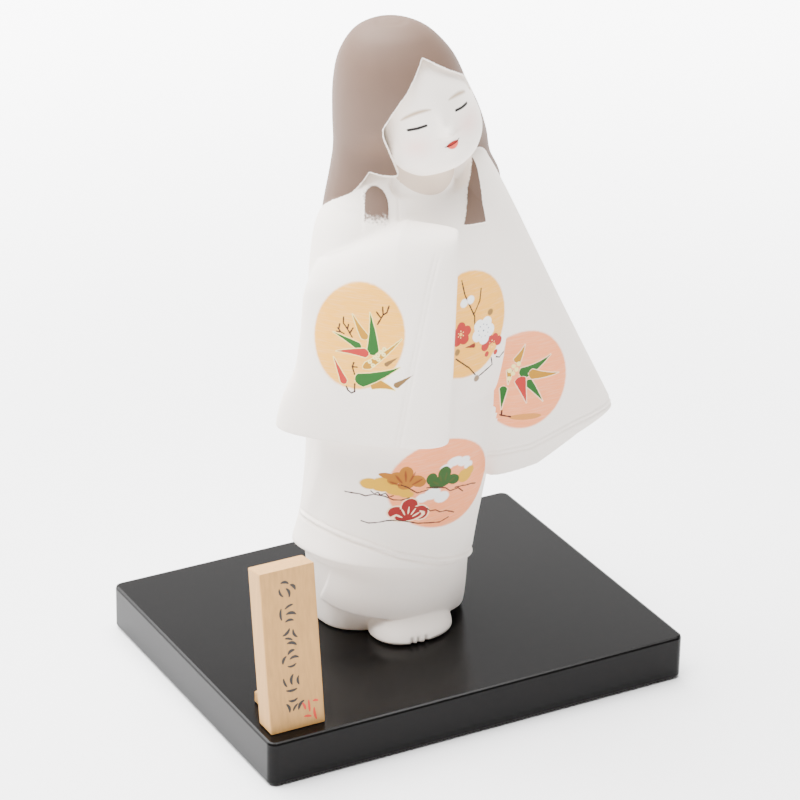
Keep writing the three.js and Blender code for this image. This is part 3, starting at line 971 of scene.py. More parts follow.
@dataclass(frozen=True)
class LeftSleeve(Loft):
    """The left arm, held away from the body in a sleeve that widens like a flattened bell."""

    levels: tuple[Level, ...] = (
        (-50.8, -12.6, -2, 11.6, 3.0, 5.6, 2.5),
        (-50, -12.6, -2, 12.1, 3.6, 6.2, 2.5),
        (-44, -12.0, -1.8, 11.5, 3.8, 6, 2.5),
        (-38, -10.4, -1.4, 9.9, 4.2, 6, 2.4),
        (-28, -8.2, -1, 7.7, 4.6, 6, 2.3),
        (-18, -6.8, -0.8, 6.3, 5.0, 6, 2.2),
        (-9, -5.9, -0.6, 5.4, 5.2, 6, 2.1),
        (-2, -5.6, -0.4, 4.9, 4.4, 5, 2.0),
        (1, -5.4, -0.2, 3.6, 3, 3.4, 2.0),
    )
    place: Place = LEFT_ARM
    blend: float = 0.6
    margin: float = 4.0
    line_height: float = 2.5
    line_slope: float = 2.0
    line_gap: float = 0.8
    line_width: float = 0.22
    outer_rise: float = 1.4
    inner_rise: float = 3.4
    most_rise: float = 3.0

    def unshaped(self, x: Grid, y: Grid, z: Grid) -> Points:
        """Levels the hem, which rises at both ends."""
        level = z
        for _ in range(3):
            middle, _, half_width, *_ = self.profile(level)
            across = (x - middle) / half_width
            low = np.clip((-level - 36) / 14, 0, 1)
            outer = self.outer_rise * np.maximum(0, across - 0.3)
            inner = self.inner_rise * np.maximum(0, -across - 0.4)
            level = z + low * np.clip(outer - inner, -self.most_rise, self.most_rise)
        return x, y, level

    def relief(self, x: Grid, y: Grid, z: Grid) -> Grid:
        """The double line that climbs away from the hem towards the body."""
        middle, _, half_width, *_ = self.profile(z)
        rise = z - self.levels[0][0] - self.line_height + self.line_slope * (x - middle) / half_width
        lower, upper = (line_ridge(rise, middle, self.line_width) for middle in (0, self.line_gap))
        return -0.3 * lower - 0.24 * upper


@dataclass(frozen=True)
class RightSleeve(Loft):
    """The raised right forearm, with the sleeve that hangs from it like a broad panel.

    The cuff is the flat face on the panel's front edge, and behind it the panel thickens to
    meet the chest.
    """

    levels: tuple[Level, ...] = (
        (-0.3, 0.5, 0, 13.0, 4.2, 3.6, 2.6),
        (0.3, 0.5, 0, 13.7, 4.6, 4, 2.6),
        (5, 1.3, 0, 13.4, 4.7, 5, 2.6),
        (10, 2.4, 0, 12.6, 4.8, 6, 2.6),
        (16, 3.0, 0, 12.4, 4.8, 7, 2.6),
        (22, 3.2, 0, 12.2, 4.8, 8, 2.5),
        (27, 3.4, 0, 11.9, 4.8, 8, 2.4),
        (31, 3.8, 0.4, 11.5, 4.0, 6, 2.4),
        (33.4, 4.2, 0.8, 11.0, 2.8, 4, 2.4),
        (34.4, 4.4, 1.4, 9.6, 1.6, 2, 2.4),
    )
    place: Place = RIGHT_ARM
    blend: float = 1.4
    margin: float = 14.0
    arm_bottom: float = 22.0
    line_width: float = 0.2
    line_depth: float = 0.18

    @staticmethod
    def thickening(x: Grid, level: Grid) -> Grid:
        """How many times deeper the panel is behind, below the arm and towards the chest."""
        below_arm = np.clip((29 - level) / 8, 0, 1)
        return 1 + 0.12 * below_arm * np.maximum(0, x + 2)

    def unshaped(self, x: Grid, y: Grid, z: Grid) -> Points:
        """Lifts the dropped elbow and takes out the thickening towards the chest."""
        drop = 0.5 * np.clip(6 - x, 0, 20) / 12
        level = np.where(z > self.arm_bottom, (z - self.arm_bottom * drop) / (1 - drop), z)
        return x, np.where(y > 0, y / self.thickening(x, level), y), level

    def relief(self, x: Grid, y: Grid, z: Grid) -> Grid:
        """The double line along the cuff and the soft fold at the panel's lower corner."""
        rise = x - 12.6 + 0.16 * (34 - z)
        lines = line_ridge(rise, 0, self.line_width) + line_ridge(rise, -0.6, self.line_width)
        cuff = lines * soft_step(z, 33, 30)
        fold = line_ridge(np.hypot(x - 6, z - 17.5), 13, 1.3) * soft_step(x, 4, 0) * soft_step(z, 17, 10)
        return 0.26 * fold - self.line_depth * cuff

    def trimmed(self, distance: Grid, x: Grid, y: Grid, z: Grid) -> Grid:
        """Ends the panel at the flat of its cuff."""
        depth = np.where(y > 0, y * self.thickening(x, z), y)
        return shared(distance, (x - 14.0 - 0.02 * z + 0.22 * depth) * 0.97, 0.35)


@dataclass(frozen=True)
class Head(Loft):
    """The bowed head, with a small nose, lips and chin and with shallow hollows for the eyes."""

    levels: tuple[Level, ...] = (
        (-10.2, -0.8, -1.6, 1.4, 1.0, 2.0, 2),
        (-9.7, -0.8, -1.6, 3.4, 2.8, 3.8, 2),
        (-8.4, -0.7, -1.4, 6.0, 5.2, 5, 2.1),
        (-6, -0.4, -0.8, 7.8, 7.2, 7, 2.1),
        (-3, -0.2, -0.2, 8.1, 8.0, 8, 2.1),
        (1, -0.3, 0, 7.5, 8.4, 8.6, 2.1),
        (5, -0.5, 0.2, 6.4, 8.0, 8.6, 2),
        (8, -0.4, 0.4, 4.4, 6.4, 7, 2),
        (9.8, 0, 0.8, 2, 2.8, 3, 2),
    )
    place: Place = HEAD
    edge: float = 1.2
    narrowing: float = 0.87
    eye_places: tuple[Pair, Pair] = ((-3.7, 0.4), (3.6, 0.4))
    eye_radii: Pair = (1.8, 1.3)
    eye_depth: float = 0.35
    features: tuple[tuple[float, Pair, Pair], ...] = (
        (1.6, (0.5, -2.2), (1.0, 0.9)),    # tip of the nose
        (0.8, (0.3, -0.6), (0.8, 1.8)),    # bridge of the nose
        (0.35, (0, -5), (1.8, 1.1)),       # mouth
        (0.5, (0, -8.2), (2.4, 1.4)),      # chin
    )

    def unshaped(self, x: Grid, y: Grid, z: Grid) -> Points:
        """Takes the features out of the face and evens out its two halves."""
        raised = sum(height * swelling(x, z, centre, radii) for height, centre, radii in self.features)
        lids = sum(swelling(x, z, eye, self.eye_radii) for eye in self.eye_places)
        forward = raised - self.eye_depth * lids
        return np.where(x > 0, x / self.narrowing, x), np.where(y < 0, y + forward, y), z


@dataclass(frozen=True)
class Hair(Loft):
    """The hair, parted over the forehead, in one bell-shaped mass down the back."""

    levels: tuple[Level, ...] = (
        (43.6, 1.2, 11.6, 7.0, 1.2, 1.4, 2.3),
        (45.4, 1.2, 11.2, 9.2, 2.2, 2.4, 2.3),
        (54, 1.4, 9.6, 10.6, 3.4, 4.4, 2.3),
        (63, 2.6, 7.4, 12.8, 4.2, 6.2, 2.2),
        (70, 4.2, 5.0, 14.8, 7.5, 7.4, 2.2),
        (76, 3.2, 3.6, 13.2, 6.5, 8.2, 2.2),
        (80, 2.6, 2.6, 12.6, 6, 8.8, 2.1),
        (85, 0.9, 1.2, 11.6, 8.8, 9.8, 2.05),
        (90, -0.5, 0.8, 10.3, 9.2, 10, 2),
        (94.5, -1.3, 0.8, 8.8, 8.0, 8.8, 2),
        (98, -1.9, 1.0, 6.3, 5.6, 6.2, 2),
        (99.6, -2.0, 1.2, 3.6, 3.2, 3.6, 2),
        (100, -2.0, 1.2, 1.5, 1.4, 1.6, 2),
    )
    window_back: float = 0.4
    window_front: float = -14.0
    window: Outline = Outline(
        start=(1.3, 9.2),
        stretches=(
            ((-0.9, 7.5), (-3.2, 5.8)),
            ((-6.2, 4.0), (-8.1, 1.9)),
            ((-8.6, 0.4), (-8.4, -0.9)),
            ((-8.1, -4.8), (-8.2, -8.1)),
            ((-10.4, -7.5), (-12.3, -5.6)),
            ((-13.6, -6.8), (-15.4, -7.7)),
            ((-16.6, -8.4),),
            ((-16.6, -24),),
            ((14, -24),),
            ((7.2, -9),),
            ((6.7, -3),),
            ((6.9, 0.8),),
            ((6.2, 2.9), (4.2, 5.4)),
            ((2.8, 7.3), (1.3, 9.2)),
        ),
    )

    def opening(self, points: Points) -> Grid:
        """Distance from the opening for the face, negative in it."""
        x, y, z = HEAD.inward(points)
        ends = np.maximum(y - self.window_back, self.window_front - y)
        return shared(self.window.distance(x, z), ends, 0.3)

    def distance(self, points: Points) -> Grid:
        """Distance from the hair's surface, negative inside it."""
        return shared(super().distance(points), -self.opening(points), 0.35)


@dataclass(frozen=True)
class Feet(Loft):
    """The toes of both socks, side by side in one rounded form, with small notches at the sole."""

    levels: tuple[Level, ...] = (
        (0, 0, 0, 6.7, 5.2, 5, 2.3),
        (0.5, 0, 0, 7.0, 5.5, 5, 2.3),
        (1.8, 0.1, 0.3, 6.9, 5.0, 5, 2.3),
        (3.4, 0.3, 0.8, 6.4, 3.8, 5, 2.3),
    )
    place: Place = Place(at=(-0.9, -6.2, 0), turn=7)
    edge: float = 0.3
    notches: tuple[float, ...] = (-2.9, -1.9, -0.5)
    notch_width: float = 0.26
    notch_depth: float = 0.5

    def relief(self, x: Grid, y: Grid, z: Grid) -> Grid:
        """The notches between the toes."""
        cuts = sum(line_ridge(x, notch, self.notch_width) for notch in self.notches)
        return -self.notch_depth * cuts * soft_step(z, 1.4, 0.5)


@dataclass(frozen=True)
class Lock:
    """A painted lock of hair that lies on the front of the robe, a little proud of it."""

    outline: Outline
    under: tuple[Loft, ...]
    dry_from: float = 0.0
    rise: float = 0.32
    blend: float = 0.1
    paint_depth: float = 0.3
    reach: Pair = (-14, 2)

    def extent(self) -> tuple[Grid, Grid]:
        """Lowest and highest corner of the space that the lock may reach."""
        front, back = self.reach
        (left, bottom), (right, top) = self.outline.corners.min(0), self.outline.corners.max(0)
        return np.array((left - 1, front, bottom - 1)), np.array((right + 1, back, top + 1))

    def distance(self, points: Points) -> Grid:
        """Distance from the lock's surface, negative inside it."""
        x, y, z = points
        beneath = np.minimum.reduce([form.distance(points) for form in self.under])
        plate = np.maximum(beneath - self.rise, y)
        return shared(plate, self.outline.distance(x, z) + 0 * y, 0.25)

    def painted(self, points: Points) -> Grid:
        """How far inside its paint a place is. The brush runs dry towards the lower end."""
        x, _, z = points
        on_top = self.paint_depth - np.abs(self.distance(points))
        dry = (z - self.dry_from) * 0.1 if self.dry_from else np.full_like(z, 9)
        return np.minimum.reduce([-self.outline.distance(x, z) - 0.05, on_top, dry])


@dataclass(frozen=True)
class Casting:
    """The whole clay casting: its forms in the order in which they are joined."""

    hair: Hair = Hair()
    head: Head = Head()
    torso: Torso = Torso()
    left_sleeve: LeftSleeve = LeftSleeve()
    right_sleeve: RightSleeve = RightSleeve()
    outer_robe: OuterRobe = OuterRobe()
    neck: Loft = Loft(
        levels=((72, 2.0, -0.4, 6.0, 5.0, 4.8, 2), (76, 2.4, -0.6, 5.4, 4.6, 4.6, 2),
                (82, 3.2, -0.8, 4.8, 4.4, 4.4, 2)),
        blend=0.8,
    )
    neck_hollow: Loft = Loft(
        levels=((73.4, 2.4, -3.6, 5.0, 4.2, 3.0, 2), (75.4, 2.6, -4.2, 7.0, 6.4, 4.6, 2),
                (84, 3.4, -5, 9, 9, 6, 2)),
        blend=0.6,
    )

    right_lock: Lock = Lock(
        outline=Outline(
            start=(-5.9, 75.3),
            stretches=(((-4.9, 75.1), (-5.0, 73.6)), ((-5.3, 72.2), (-6.2, 70.4)), ((-6.7, 69.0),),
                       ((-10.0, 69.0),), ((-8.9, 71.6), (-8.1, 73.4)), ((-7.3, 75.2), (-5.9, 75.3))),
        ),
        under=(torso,),
        dry_from=71.0,
    )
    left_lock: Lock = Lock(
        outline=Outline(
            start=(10.2, 77.6),
            stretches=(((10.6, 76.8), (10.6, 74.5)), ((10.8, 71.3), (10.8, 68.0)), ((6.1, 68.7),),
                       ((7.2, 70.8), (8.0, 72.6)), ((8.8, 74.4), (9.4, 76.1)), ((9.8, 77.1), (10.2, 77.6))),
        ),
        under=(torso, left_sleeve),
    )

    def robe(self) -> list[Loft]:
        """The forms of the robe that the hollow at the neck is cut from."""
        return [UnderRobe(), FrontFlap(), MiddleRobe(), self.outer_robe, self.torso, RightShoulder(),
                self.left_sleeve]

    def locks(self) -> list[Lock]:
        """The two locks of hair on the chest."""
        return [self.right_lock, self.left_lock]

    def rest(self) -> list[Loft]:
        """The forms that are joined after the hollow is cut."""
        return [self.right_sleeve, self.neck, self.head, Feet(), self.hair]


class ClayBlock:
    """A box of even points, in which forms are joined and cut, and then taken out as a mesh."""

    FAR = 3.0

    def __init__(self, low: Triple, high: Triple, step: float) -> None:
        """Lays the points out.

        Args:
            low: Lowest corner, in units of the figure.
            high: Highest corner.
            step: Distance between points.
        """
        self.low = np.array(low, np.float32)
        self.step = step
        counts = [int((top - bottom) / step) + 1 for bottom, top in zip(low, high)]
        self.axes = [bottom + step * np.arange(count, dtype=np.float32) for bottom, count in zip(low, counts)]
        self.distance = np.full(counts, self.FAR, np.float32)

    def _around(self, form: Loft | Lock) -> tuple[tuple[slice, ...], Points]:
        """The part of the block that a form may reach, and the points there."""
        spans = []
        for axis, bottom, top in zip(self.axes, *form.extent()):
            spans.append(slice(*np.searchsorted(axis, (bottom, top))))
        x, y, z = (axis[span] for axis, span in zip(self.axes, spans))
        return tuple(spans), (x[:, None, None], y[None, :, None], z[None, None, :])

    def add(self, form: Loft | Lock) -> None:
        """Joins a form to what is there."""
        span, points = self._around(form)
        self.distance[span] = joined(self.distance[span], form.distance(points), form.blend)

    def carve(self, form: Loft) -> None:
        """Cuts a form out of what is there."""
        span, points = self._around(form)
        self.distance[span] = shared(self.distance[span], -form.distance(points), form.blend)

    def skin(self) -> tuple[Grid, Grid]:
        """The surface as points, in units of the figure, and four-cornered faces."""
        grid = vdb.FloatGrid(self.FAR)
        grid.copyFromArray(np.clip(self.distance, -self.FAR, self.FAR), tolerance=0.0)
        points, quads = grid.convertToQuads(0.0)
        return self.low + self.step * points, quads


SLEEVE_PEARLS = (
    (1.5, -4.0), (2.25, -3.3), (2.7, -2.8), (2.8, -3.5), (2.0, -4.6), (3.2, -2.2), (3.7, -1.7),
    (3.6, -2.6),
)

SLEEVE_PICTURE = Picture(
    carrier="right_sleeve", place=Place(at=(-13.0, -10.8, 55.4), turn=-41), low=(-9.5, -11.5),
    high=(10.0, 10.5),
    layers=(
        ground(Paint.OCHRE, -0.3, 0.0, 7.0, 8.95, -12),
        Layer(Paint.TWIG, (
            Twig((2.6, 2.3), (3.4, 3.9), (4.0, 4.4), (4.3, 5.5)), Twig((3.0, 3.5), (2.4, 4.3)),
            Twig((3.4, 3.9), (3.35, 5.2)), Twig((-1.3, -0.3), (-2.05, 0.95), (-2.7, 1.8), (-2.7, 2.8)),
            Twig((-1.7, 0.3), (-1.2, 1.2)), Twig((-2.05, 0.95), (-1.9, 1.7)),
            Twig((-2.6, 0.1), (-3.1, 0.3), (-3.75, 0.3)), Twig((-3.1, 0.3), (-3.6, 0.9)),
            Twig((-3.4, 0.9), (-3.3, 1.6)), Twig((-0.85, -6.4), (-1.2, -5.2), (-1.0, -4.5)),
            Twig((-1.2, -5.2), (-0.5, -5.15)),
            Twig((-2.1, -8.6), (-1.85, -9.2), (-1.3, -9.6), (-0.8, -9.3), (-0.8, -8.0)),
        )),
        Layer(Paint.GOLD, leaves((-1.3, 3.5, 0.9, -0.4, 1.1, -0.1)), Paint.PALE),
        Layer(Paint.GREEN, leaves(
            (1.4, 4.1, 1.9, -2.9, 1.6, 0.2), (-4.3, 0.1, 0.1, -1.9, 1.0, 0.1),
        ), Paint.PALE),
        Layer(Paint.CORAL, leaves(
            (-3.8, -2.95, 1.3, -2.7, 1.3, 0.15), (-4.2, -4.0, -2.3, -8.2, 1.0),
        ), Paint.PALE),
        Layer(Paint.GOLD, leaves(
            (6.3, 0.2, 0.5, -5.2, 1.1, 0.25), (5.4, -8.4, 1.7, -7.65, 1.7, -0.3),
        ), Paint.PALE),
        Layer(Paint.GREEN, leaves((6.1, -4.5, -0.7, -7.5, 2.0, 0.3)), Paint.PALE),
        Layer(Paint.TAUPE, leaves((5.9, -2.8, 3.8, -4.4, 0.65), (8.1, -5.7, 5.3, -7.8, 0.85))),
        Layer(Paint.PALE, dots(0.34, *SLEEVE_PEARLS)),
        Layer(Paint.TAUPE, dots(0.1, *SLEEVE_PEARLS), cover=0.6),
    ),
)

CHEST_PICTURE = Picture(
    carrier="torso", place=Place(at=(6.0, -9.6, 52.2), turn=8), low=(-9.5, -10.5), high=(10.5, 10.8),
    layers=(
        ground(Paint.OCHRE, 0.3, 0.6, 8.05, 8.7),
        Layer(Paint.TWIG, (
            Twig((1.8, 0.3), (1.75, 1.7), (0.5, 4.3), (-0.1, 5.7), (-0.6, 8.05)),
            Twig((1.75, 2.25), (2.8, 4.0), (3.1, 5.9)), Twig((-1.9, -4.5), (0.75, -6.7), (2.0, -8.2)),
            Twig((2.9, -8.6), (5.7, -7.6), (5.4, -6.3)),
            Twig((6.6, -6.6), (7.5, -7.0), (8.5, -6.3), (8.7, -5.5), (9.3, -4.6)),
        )),
        Layer(Paint.SHELL, dots(0.7, (-0.3, 4.3), (1.0, 4.6)), edge=0.12),
        Layer(Paint.TAUPE, dots(0.55, (5.0, 1.5), (-1.6, -3.5), (2.3, -8.9)), edge=0.12, cover=0.9),
        Layer(Paint.RUST, leaves((-0.1, -3.1, 1.95, -3.2, 0.7))),
        Layer(Paint.CORAL, (
            *ring((-0.9, -0.7), 1.15, 0.88, 5),
            *dots(0.8, (4.0, -4.0), (5.0, -3.2), (6.1, -3.2), (7.0, -3.95)),
            *dots(0.45, (4.4, -5.4), (6.4, -5.7)),
        )),
        Layer(Paint.SHELL, (*ring((3.6, -1.2), 1.3, 1.05, 5, 60), Spot((3.6, -1.2), (1.1, 1.1)))),
        Layer(Paint.STAMEN, (*ring((3.6, -1.2), 1.05, 0.1, 9), *dots(0.14, (3.6, -1.2))), edge=0.05),
        Layer(Paint.PALE, (
            *ring((-0.9, -0.7), 0.55, 0.09, 6), *ring((5.5, -4.0), 0.55, 0.09, 6),
        ), edge=0.04),
    ),
)

LEFT_SLEEVE_PICTURE = Picture(
    carrier="left_sleeve", place=Place(at=(18.5, -8.5, 40.5), turn=-4), low=(-9.5, -9.5),
    high=(8.5, 10.0),
    layers=(
        ground(Paint.SALMON, -0.9, 0.2, 7.55, 8.0),
        Layer(Paint.GOLD, leaves((-0.8, 6.0, -2.4, 3.3, 1.1, 0.1)), Paint.PINK_RIM),
        Layer(Paint.GREEN, leaves((3.8, 3.5, -1.8, 1.2, 1.7, 0.3)), Paint.PINK_RIM),
        Layer(Paint.GOLD, leaves((5.2, 0.2, -0.2, 1.1, 1.4, 0.2)), Paint.PINK_RIM),
        Layer(Paint.GREEN, leaves(
            (2.2, -3.9, -0.6, 0.0, 1.2, -0.1), (-4.8, -4.3, -4.3, -0.5, 1.0),
        ), Paint.PINK_RIM),
        Layer(Paint.CORAL, leaves((-0.7, -3.6, -1.8, 0.8, 1.7)), Paint.PINK_RIM),
        Layer(Paint.GOLD, leaves((-3.7, -0.2, -3.3, 2.3, 0.9)), Paint.PINK_RIM),
        Layer(Paint.TAN, (Lens((1.9, -6.2), (-3.6, -5.7), 1.0),)),
        Layer(Paint.TWIG, (Twig((-3.4, -5.6), (-5.0, -5.2)), Twig((-4.8, -5.3), (-4.7, -4.5)))),
        Layer(Paint.PALE, dots(
            0.36, (-1.9, 3.0), (-2.75, 2.7), (-2.3, 2.1), (-2.85, 1.5), (-3.4, 2.0), (-3.5, 0.7),
        )),
    ),
)

SKIRT_PICTURE = Picture(
    carrier="outer_robe", place=Place(at=(1.2, -10.6, 27.3), turn=5), low=(-16.0, -9.5), high=(12.0, 9.5),
    depth=9.0,
    layers=(
        ground(Paint.SALMON, 1.05, -0.35, 9.7, 7.5, -12),
        Layer(Paint.CLOUD, ovals(
            (1.7, 2.4, 1.3, 0.5), (3.2, 2.9, 1.5, 0.75), (5.0, 2.4, 1.3, 0.8), (6.0, 1.4, 0.9, 0.7),
            (-2.85, -1.9, 1.2, 0.75), (-1.1, -1.6, 1.6, 0.95), (0.7, -2.6, 1.4, 0.95),
        ), edge=0.14),
        Layer(Paint.YELLOW, ovals(
            (5.3, -0.2, 1.5, 1.15), (6.3, 0.3, 1.0, 0.8), (-10.7, 1.4, 1.2, 0.95), (-8.9, 1.3, 1.9, 1.25),
            (-7.0, 0.2, 2.2, 0.9, -14), (-5.6, -0.7, 1.3, 0.6, -14),
        ), edge=0.14),
        Layer(Paint.PINE_GOLD, (
            Lens((-9.6, 3.1), (-5.9, 1.3), 1.1, 0.2), Spot((-7.3, 2.2), (1.2, 1.0), 30),
            Spot((-5.6, 2.7), (1.15, 1.3)), Spot((-3.7, 1.2), (1.5, 0.95), -25),
            Spot((-5.6, 0.9), (1.3, 0.8)),
        )),
        Layer(Paint.PINE_BROWN, fan(
            (-5.6, 0.4), 1.0, 2.9, 0.34, 20, 58, 92, 125, 152,
        ), edge=0.14, cover=0.75),
        Layer(Paint.PINE_GREEN, ovals(
            (-1.2, 1.0, 1.0, 1.0), (1.2, 1.3, 1.25, 1.25), (2.9, -0.1, 1.25, 0.85, -20),
            (0.4, 0.1, 2.1, 1.05),
        )),
        Layer(Paint.PINE_OLIVE, fan((1.0, -0.9), 1.1, 2.4, 0.3, 25, 75, 110, 145), edge=0.16, cover=0.6),
        Layer(Paint.PINE_RED, ovals(
            (-7.2, -3.6, 1.2, 0.95), (-5.0, -2.9, 1.35, 1.3), (-3.2, -4.3, 1.4, 1.15, -20),
            (-5.2, -4.6, 2.2, 0.7),
        ), Paint.PINK_RIM, 0.2),
        Layer(Paint.PINE_RED, ovals((-5.2, -3.9, 1.9, 1.0))),
        Layer(Paint.PINK_RIM, fan((-5.4, -5.1), 0.9, 2.2, 0.26, 22, 50, 82, 115, 150)),
        Layer(Paint.BROWN, (
            Twig(
                (-13.3, -0.5), (-12.0, -0.45), (-11.3, -0.7), (-10.25, -0.35), (-8.8, -0.7), (-7.6, -1.4),
                (-6.4, -1.6), (-5.1, -1.4), width=0.2,
            ),
            Twig(
                (-10.6, 0.2), (-10.2, -0.3), (-9.7, 0.0), (-9.4, -0.5), (-8.7, -0.2), (-8.2, -0.9),
                (-7.6, -0.7), width=0.17,
            ),
            Twig((-6.4, 1.0), (-5.4, 0.45), (-3.8, -0.8), (-1.9, -0.7), width=0.2),
            Twig((-2.1, -0.3), (-0.3, -0.6), (1.4, -1.2), (2.3, -2.0), (4.0, -2.0), (5.0, -2.9), width=0.2),
            Twig((3.3, -1.7), (4.9, -1.9), (5.6, -2.1), (6.9, -2.3), (8.0, -2.7), width=0.2),
            Twig(
                (-2.0, -3.9), (-1.4, -4.5), (-0.4, -4.6), (0.5, -5.2), (1.7, -5.3), (3.3, -6.1),
                width=0.19,
            ),
            Twig((-11.8, -5.0), (-11.0, -5.3), (-10.0, -5.2), (-8.5, -4.9), (-7.0, -5.0), width=0.19),
            Twig(
                (-7.0, -5.0), (-5.6, -5.4), (-3.7, -6.1), (-1.35, -6.6), (0.5, -7.0), (2.2, -6.6),
                width=0.19,
            ),
        ), edge=0.06),
    ),
)

FACE_PICTURE = Picture(
    carrier="head", place=HEAD, low=(-9.5, -10.5), high=(9.5, 8.5), depth=12.0, waver=0.05,
    layers=(
        Layer(Paint.CHEEK, ovals((-4.6, -3.0, 1.2, 1.0), (4.0, -3.0, 1.0, 0.9)), edge=2.2, cover=0.6),
        Layer(Paint.BROW_AND_NOSE_SHADE, (
            Lens((-5.2, 1.7), (-0.6, 2.1), 0.55, 0.45), Lens((2.5, 2.0), (5.6, 0.7), 0.5, 0.3),
        ), edge=0.26, cover=0.8),
        # Painted shade under the nose, in the brows' paint.
        Layer(Paint.BROW_AND_NOSE_SHADE, ovals((0.75, -2.9, 0.4, 0.08)), edge=0.6, cover=0.5),
        Layer(Paint.LASH, (
            Twig((-4.75, -0.04), (-3.46, -0.13), (-2.13, -0.04), width=0.44),
            Twig((2.95, -0.13), (3.85, -0.37), (4.95, -0.5), width=0.4),
        ), edge=0.1),
        Layer(Paint.LOWER_LIP, (Lens((-0.45, -4.5), (1.4, -4.45), 0.8, -0.26),), edge=0.12),
        Layer(Paint.LIP, (Lens((-0.6, -4.42), (1.5, -4.3), 0.5, 0.12),), edge=0.1),
        Layer(Paint.LIP_LINE, (
            Twig((-0.75, -4.36), (0.2, -4.46), (1.0, -4.4), (1.7, -4.1), width=0.13),
        ), edge=0.08),
    ),
)

# Painted shade: the neck under the chin is laid over in a darker, warmer colour for the chin's shadow on it.
NECK_SHADE_PICTURE = Picture(
    carrier="neck", place=Place(at=(2.6, -6.0, 77.0)), low=(-9.0, -5.5), high=(9.0, 7.0), depth=9.0,
    layers=(Layer(Paint.NECK, ovals((0.0, 0.0, 8.0, 5.5)), edge=0.8),),
)


def strokes(at: Pair, turn: float, *shapes: tuple[float, ...]) -> tuple[Lens, ...]:
    """Short strokes about a point, turned together.

    Args:
        at: The point.
        turn: How far they are turned, in degrees.
        *shapes: Each stroke's start and end about the point, its width and its bow.

    Returns:
        The strokes.
    """
    turned = Matrix.Rotation(radians(turn), 2)
    ends = [(turned @ Vector(shape[:2]), turned @ Vector(shape[2:4])) for shape in shapes]
    moved = [tuple((end[0] + at[0], end[1] + at[1]) for end in pair) for pair in ends]
    return tuple(Lens(start, end, *shape[4:]) for (start, end), shape in zip(moved, shapes))


FALLING = (
    (-2.4, 2.8, 0.8, 2.0, 1.1, 0.5), (1.2, 1.6, 3.2, -0.8, 1.2, 0.5), (-3.0, 0.9, -1.6, -2.4, 0.9, -0.5),
    (-0.4, 0.6, 0.6, -3.0, 1.1, 0.6),
)
BROAD = (
    (-2.0, 3.0, -2.8, -1.4, 1.0, -0.4), (-0.8, 2.2, 2.8, 2.8, 0.9, 0.3), (-0.8, 0.2, 3.0, -1.2, 1.2, 0.6),
    (-1.8, -2.4, 1.6, -3.0, 1.0, 0.5),
)
SPREAD = (
    (-0.6, 3.2, -3.1, 0.4, 1.1, 0.5), (0.7, 2.9, 2.8, -0.2, 1.0, -0.6), (-2.2, -0.6, 1.0, -1.2, 0.9, 0.3),
    (-1.2, -2.4, 2.8, -3.0, 1.2, 0.6),
)
RED_STROKES = (
    (-3.0, 3.4, -2.0, 0.6, 1.0, 0.2), (-0.6, 4.0, -0.4, -0.6, 0.9, 0.0), (1.0, 3.2, 3.2, 2.8, 0.9, 0.2),
    (-2.8, -1.8, 0.2, -2.4, 0.9, 0.2), (1.4, 0.8, 2.0, -4.0, 1.0, -0.3),
)

TABLET_PICTURE = Picture(
    carrier="tablet", place=Place(at=(-71.35, -59.8, 17.3), nod=-9), low=(-11, -1), high=(11, 60),
    waver=0.25,
    layers=(
        Layer(Paint.INK, (
            *strokes((-0.5, 51.8), 0, *FALLING), *strokes((-0.8, 42.8), 10, *BROAD),
            *strokes((-0.5, 34.3), -10, *SPREAD), *strokes((-0.8, 26.4), 75, *FALLING),
            *strokes((-1.1, 17.4), 100, *BROAD), *strokes((-0.9, 9.0), 60, *SPREAD),
        ), edge=0.12),
        Layer(Paint.RED_INK, strokes((5.3, 5.6), 0, *RED_STROKES), edge=0.12, cover=0.9),
    ),
)


def placed(name: str, data: bpy.types.ID) -> bpy.types.Object:
    """Makes an object and puts it in the scene."""
    thing = bpy.data.objects.new(name, data)
    bpy.context.scene.collection.objects.link(thing)
    return thing


@dataclass(frozen=True)
class PaintedClay:
    """Matt body paint on fired clay, with brushed-on hair and, in places, a picture."""

    pore: float = 0.00035
    pore_depth: float = 0.00005
    bristles: float = 900
    clouds: float = 60
    wisps: float = 150
    roughness: float = 0.85
    hair_smoother: float = 0.15

    def material(self, name: str, pictures: tuple[Picture, ...], unit: float, base: float
                 ) -> bpy.types.Material:
        """Makes the finish.

        Args:
            name: Its name.
            pictures: What is painted there.
            unit: Metres to a unit of the figure.
            base: Height of the figure's foot in metres.

        Returns:
            The finish.
        """
        shader = Shader(name)
        place = shader.place()
        coat = Coat(shader, Paint.BODY)
        for picture in pictures:
            covered = picture.carrier != "head"
            within = shader.attribute(picture.attribute).rising(-0.02, 0.06) if covered else None
            coat.show(picture, picture.flat(shader, unit, base), within)
        frayed = shader.attribute("hair_paint") + shader.noise(place, self.bristles, 3) * 0.25
        brushed = frayed.rising(-0.05, 0.1)
        coat.tint(shader.noise(place, self.clouds) * 0.05)
        coat.lay(Paint.HAIR, brushed)
        coat.tint(shader.noise(place, self.wisps, 4) * brushed * 0.12)
        pores = shader.noise(place, 1 / self.pore, 3)
        return shader.surface(
            Base_Color=coat.colour,
            Roughness=self.roughness - brushed * self.hair_smoother,
            Normal=shader.bump(pores, self.pore_depth, 0.5),
        )


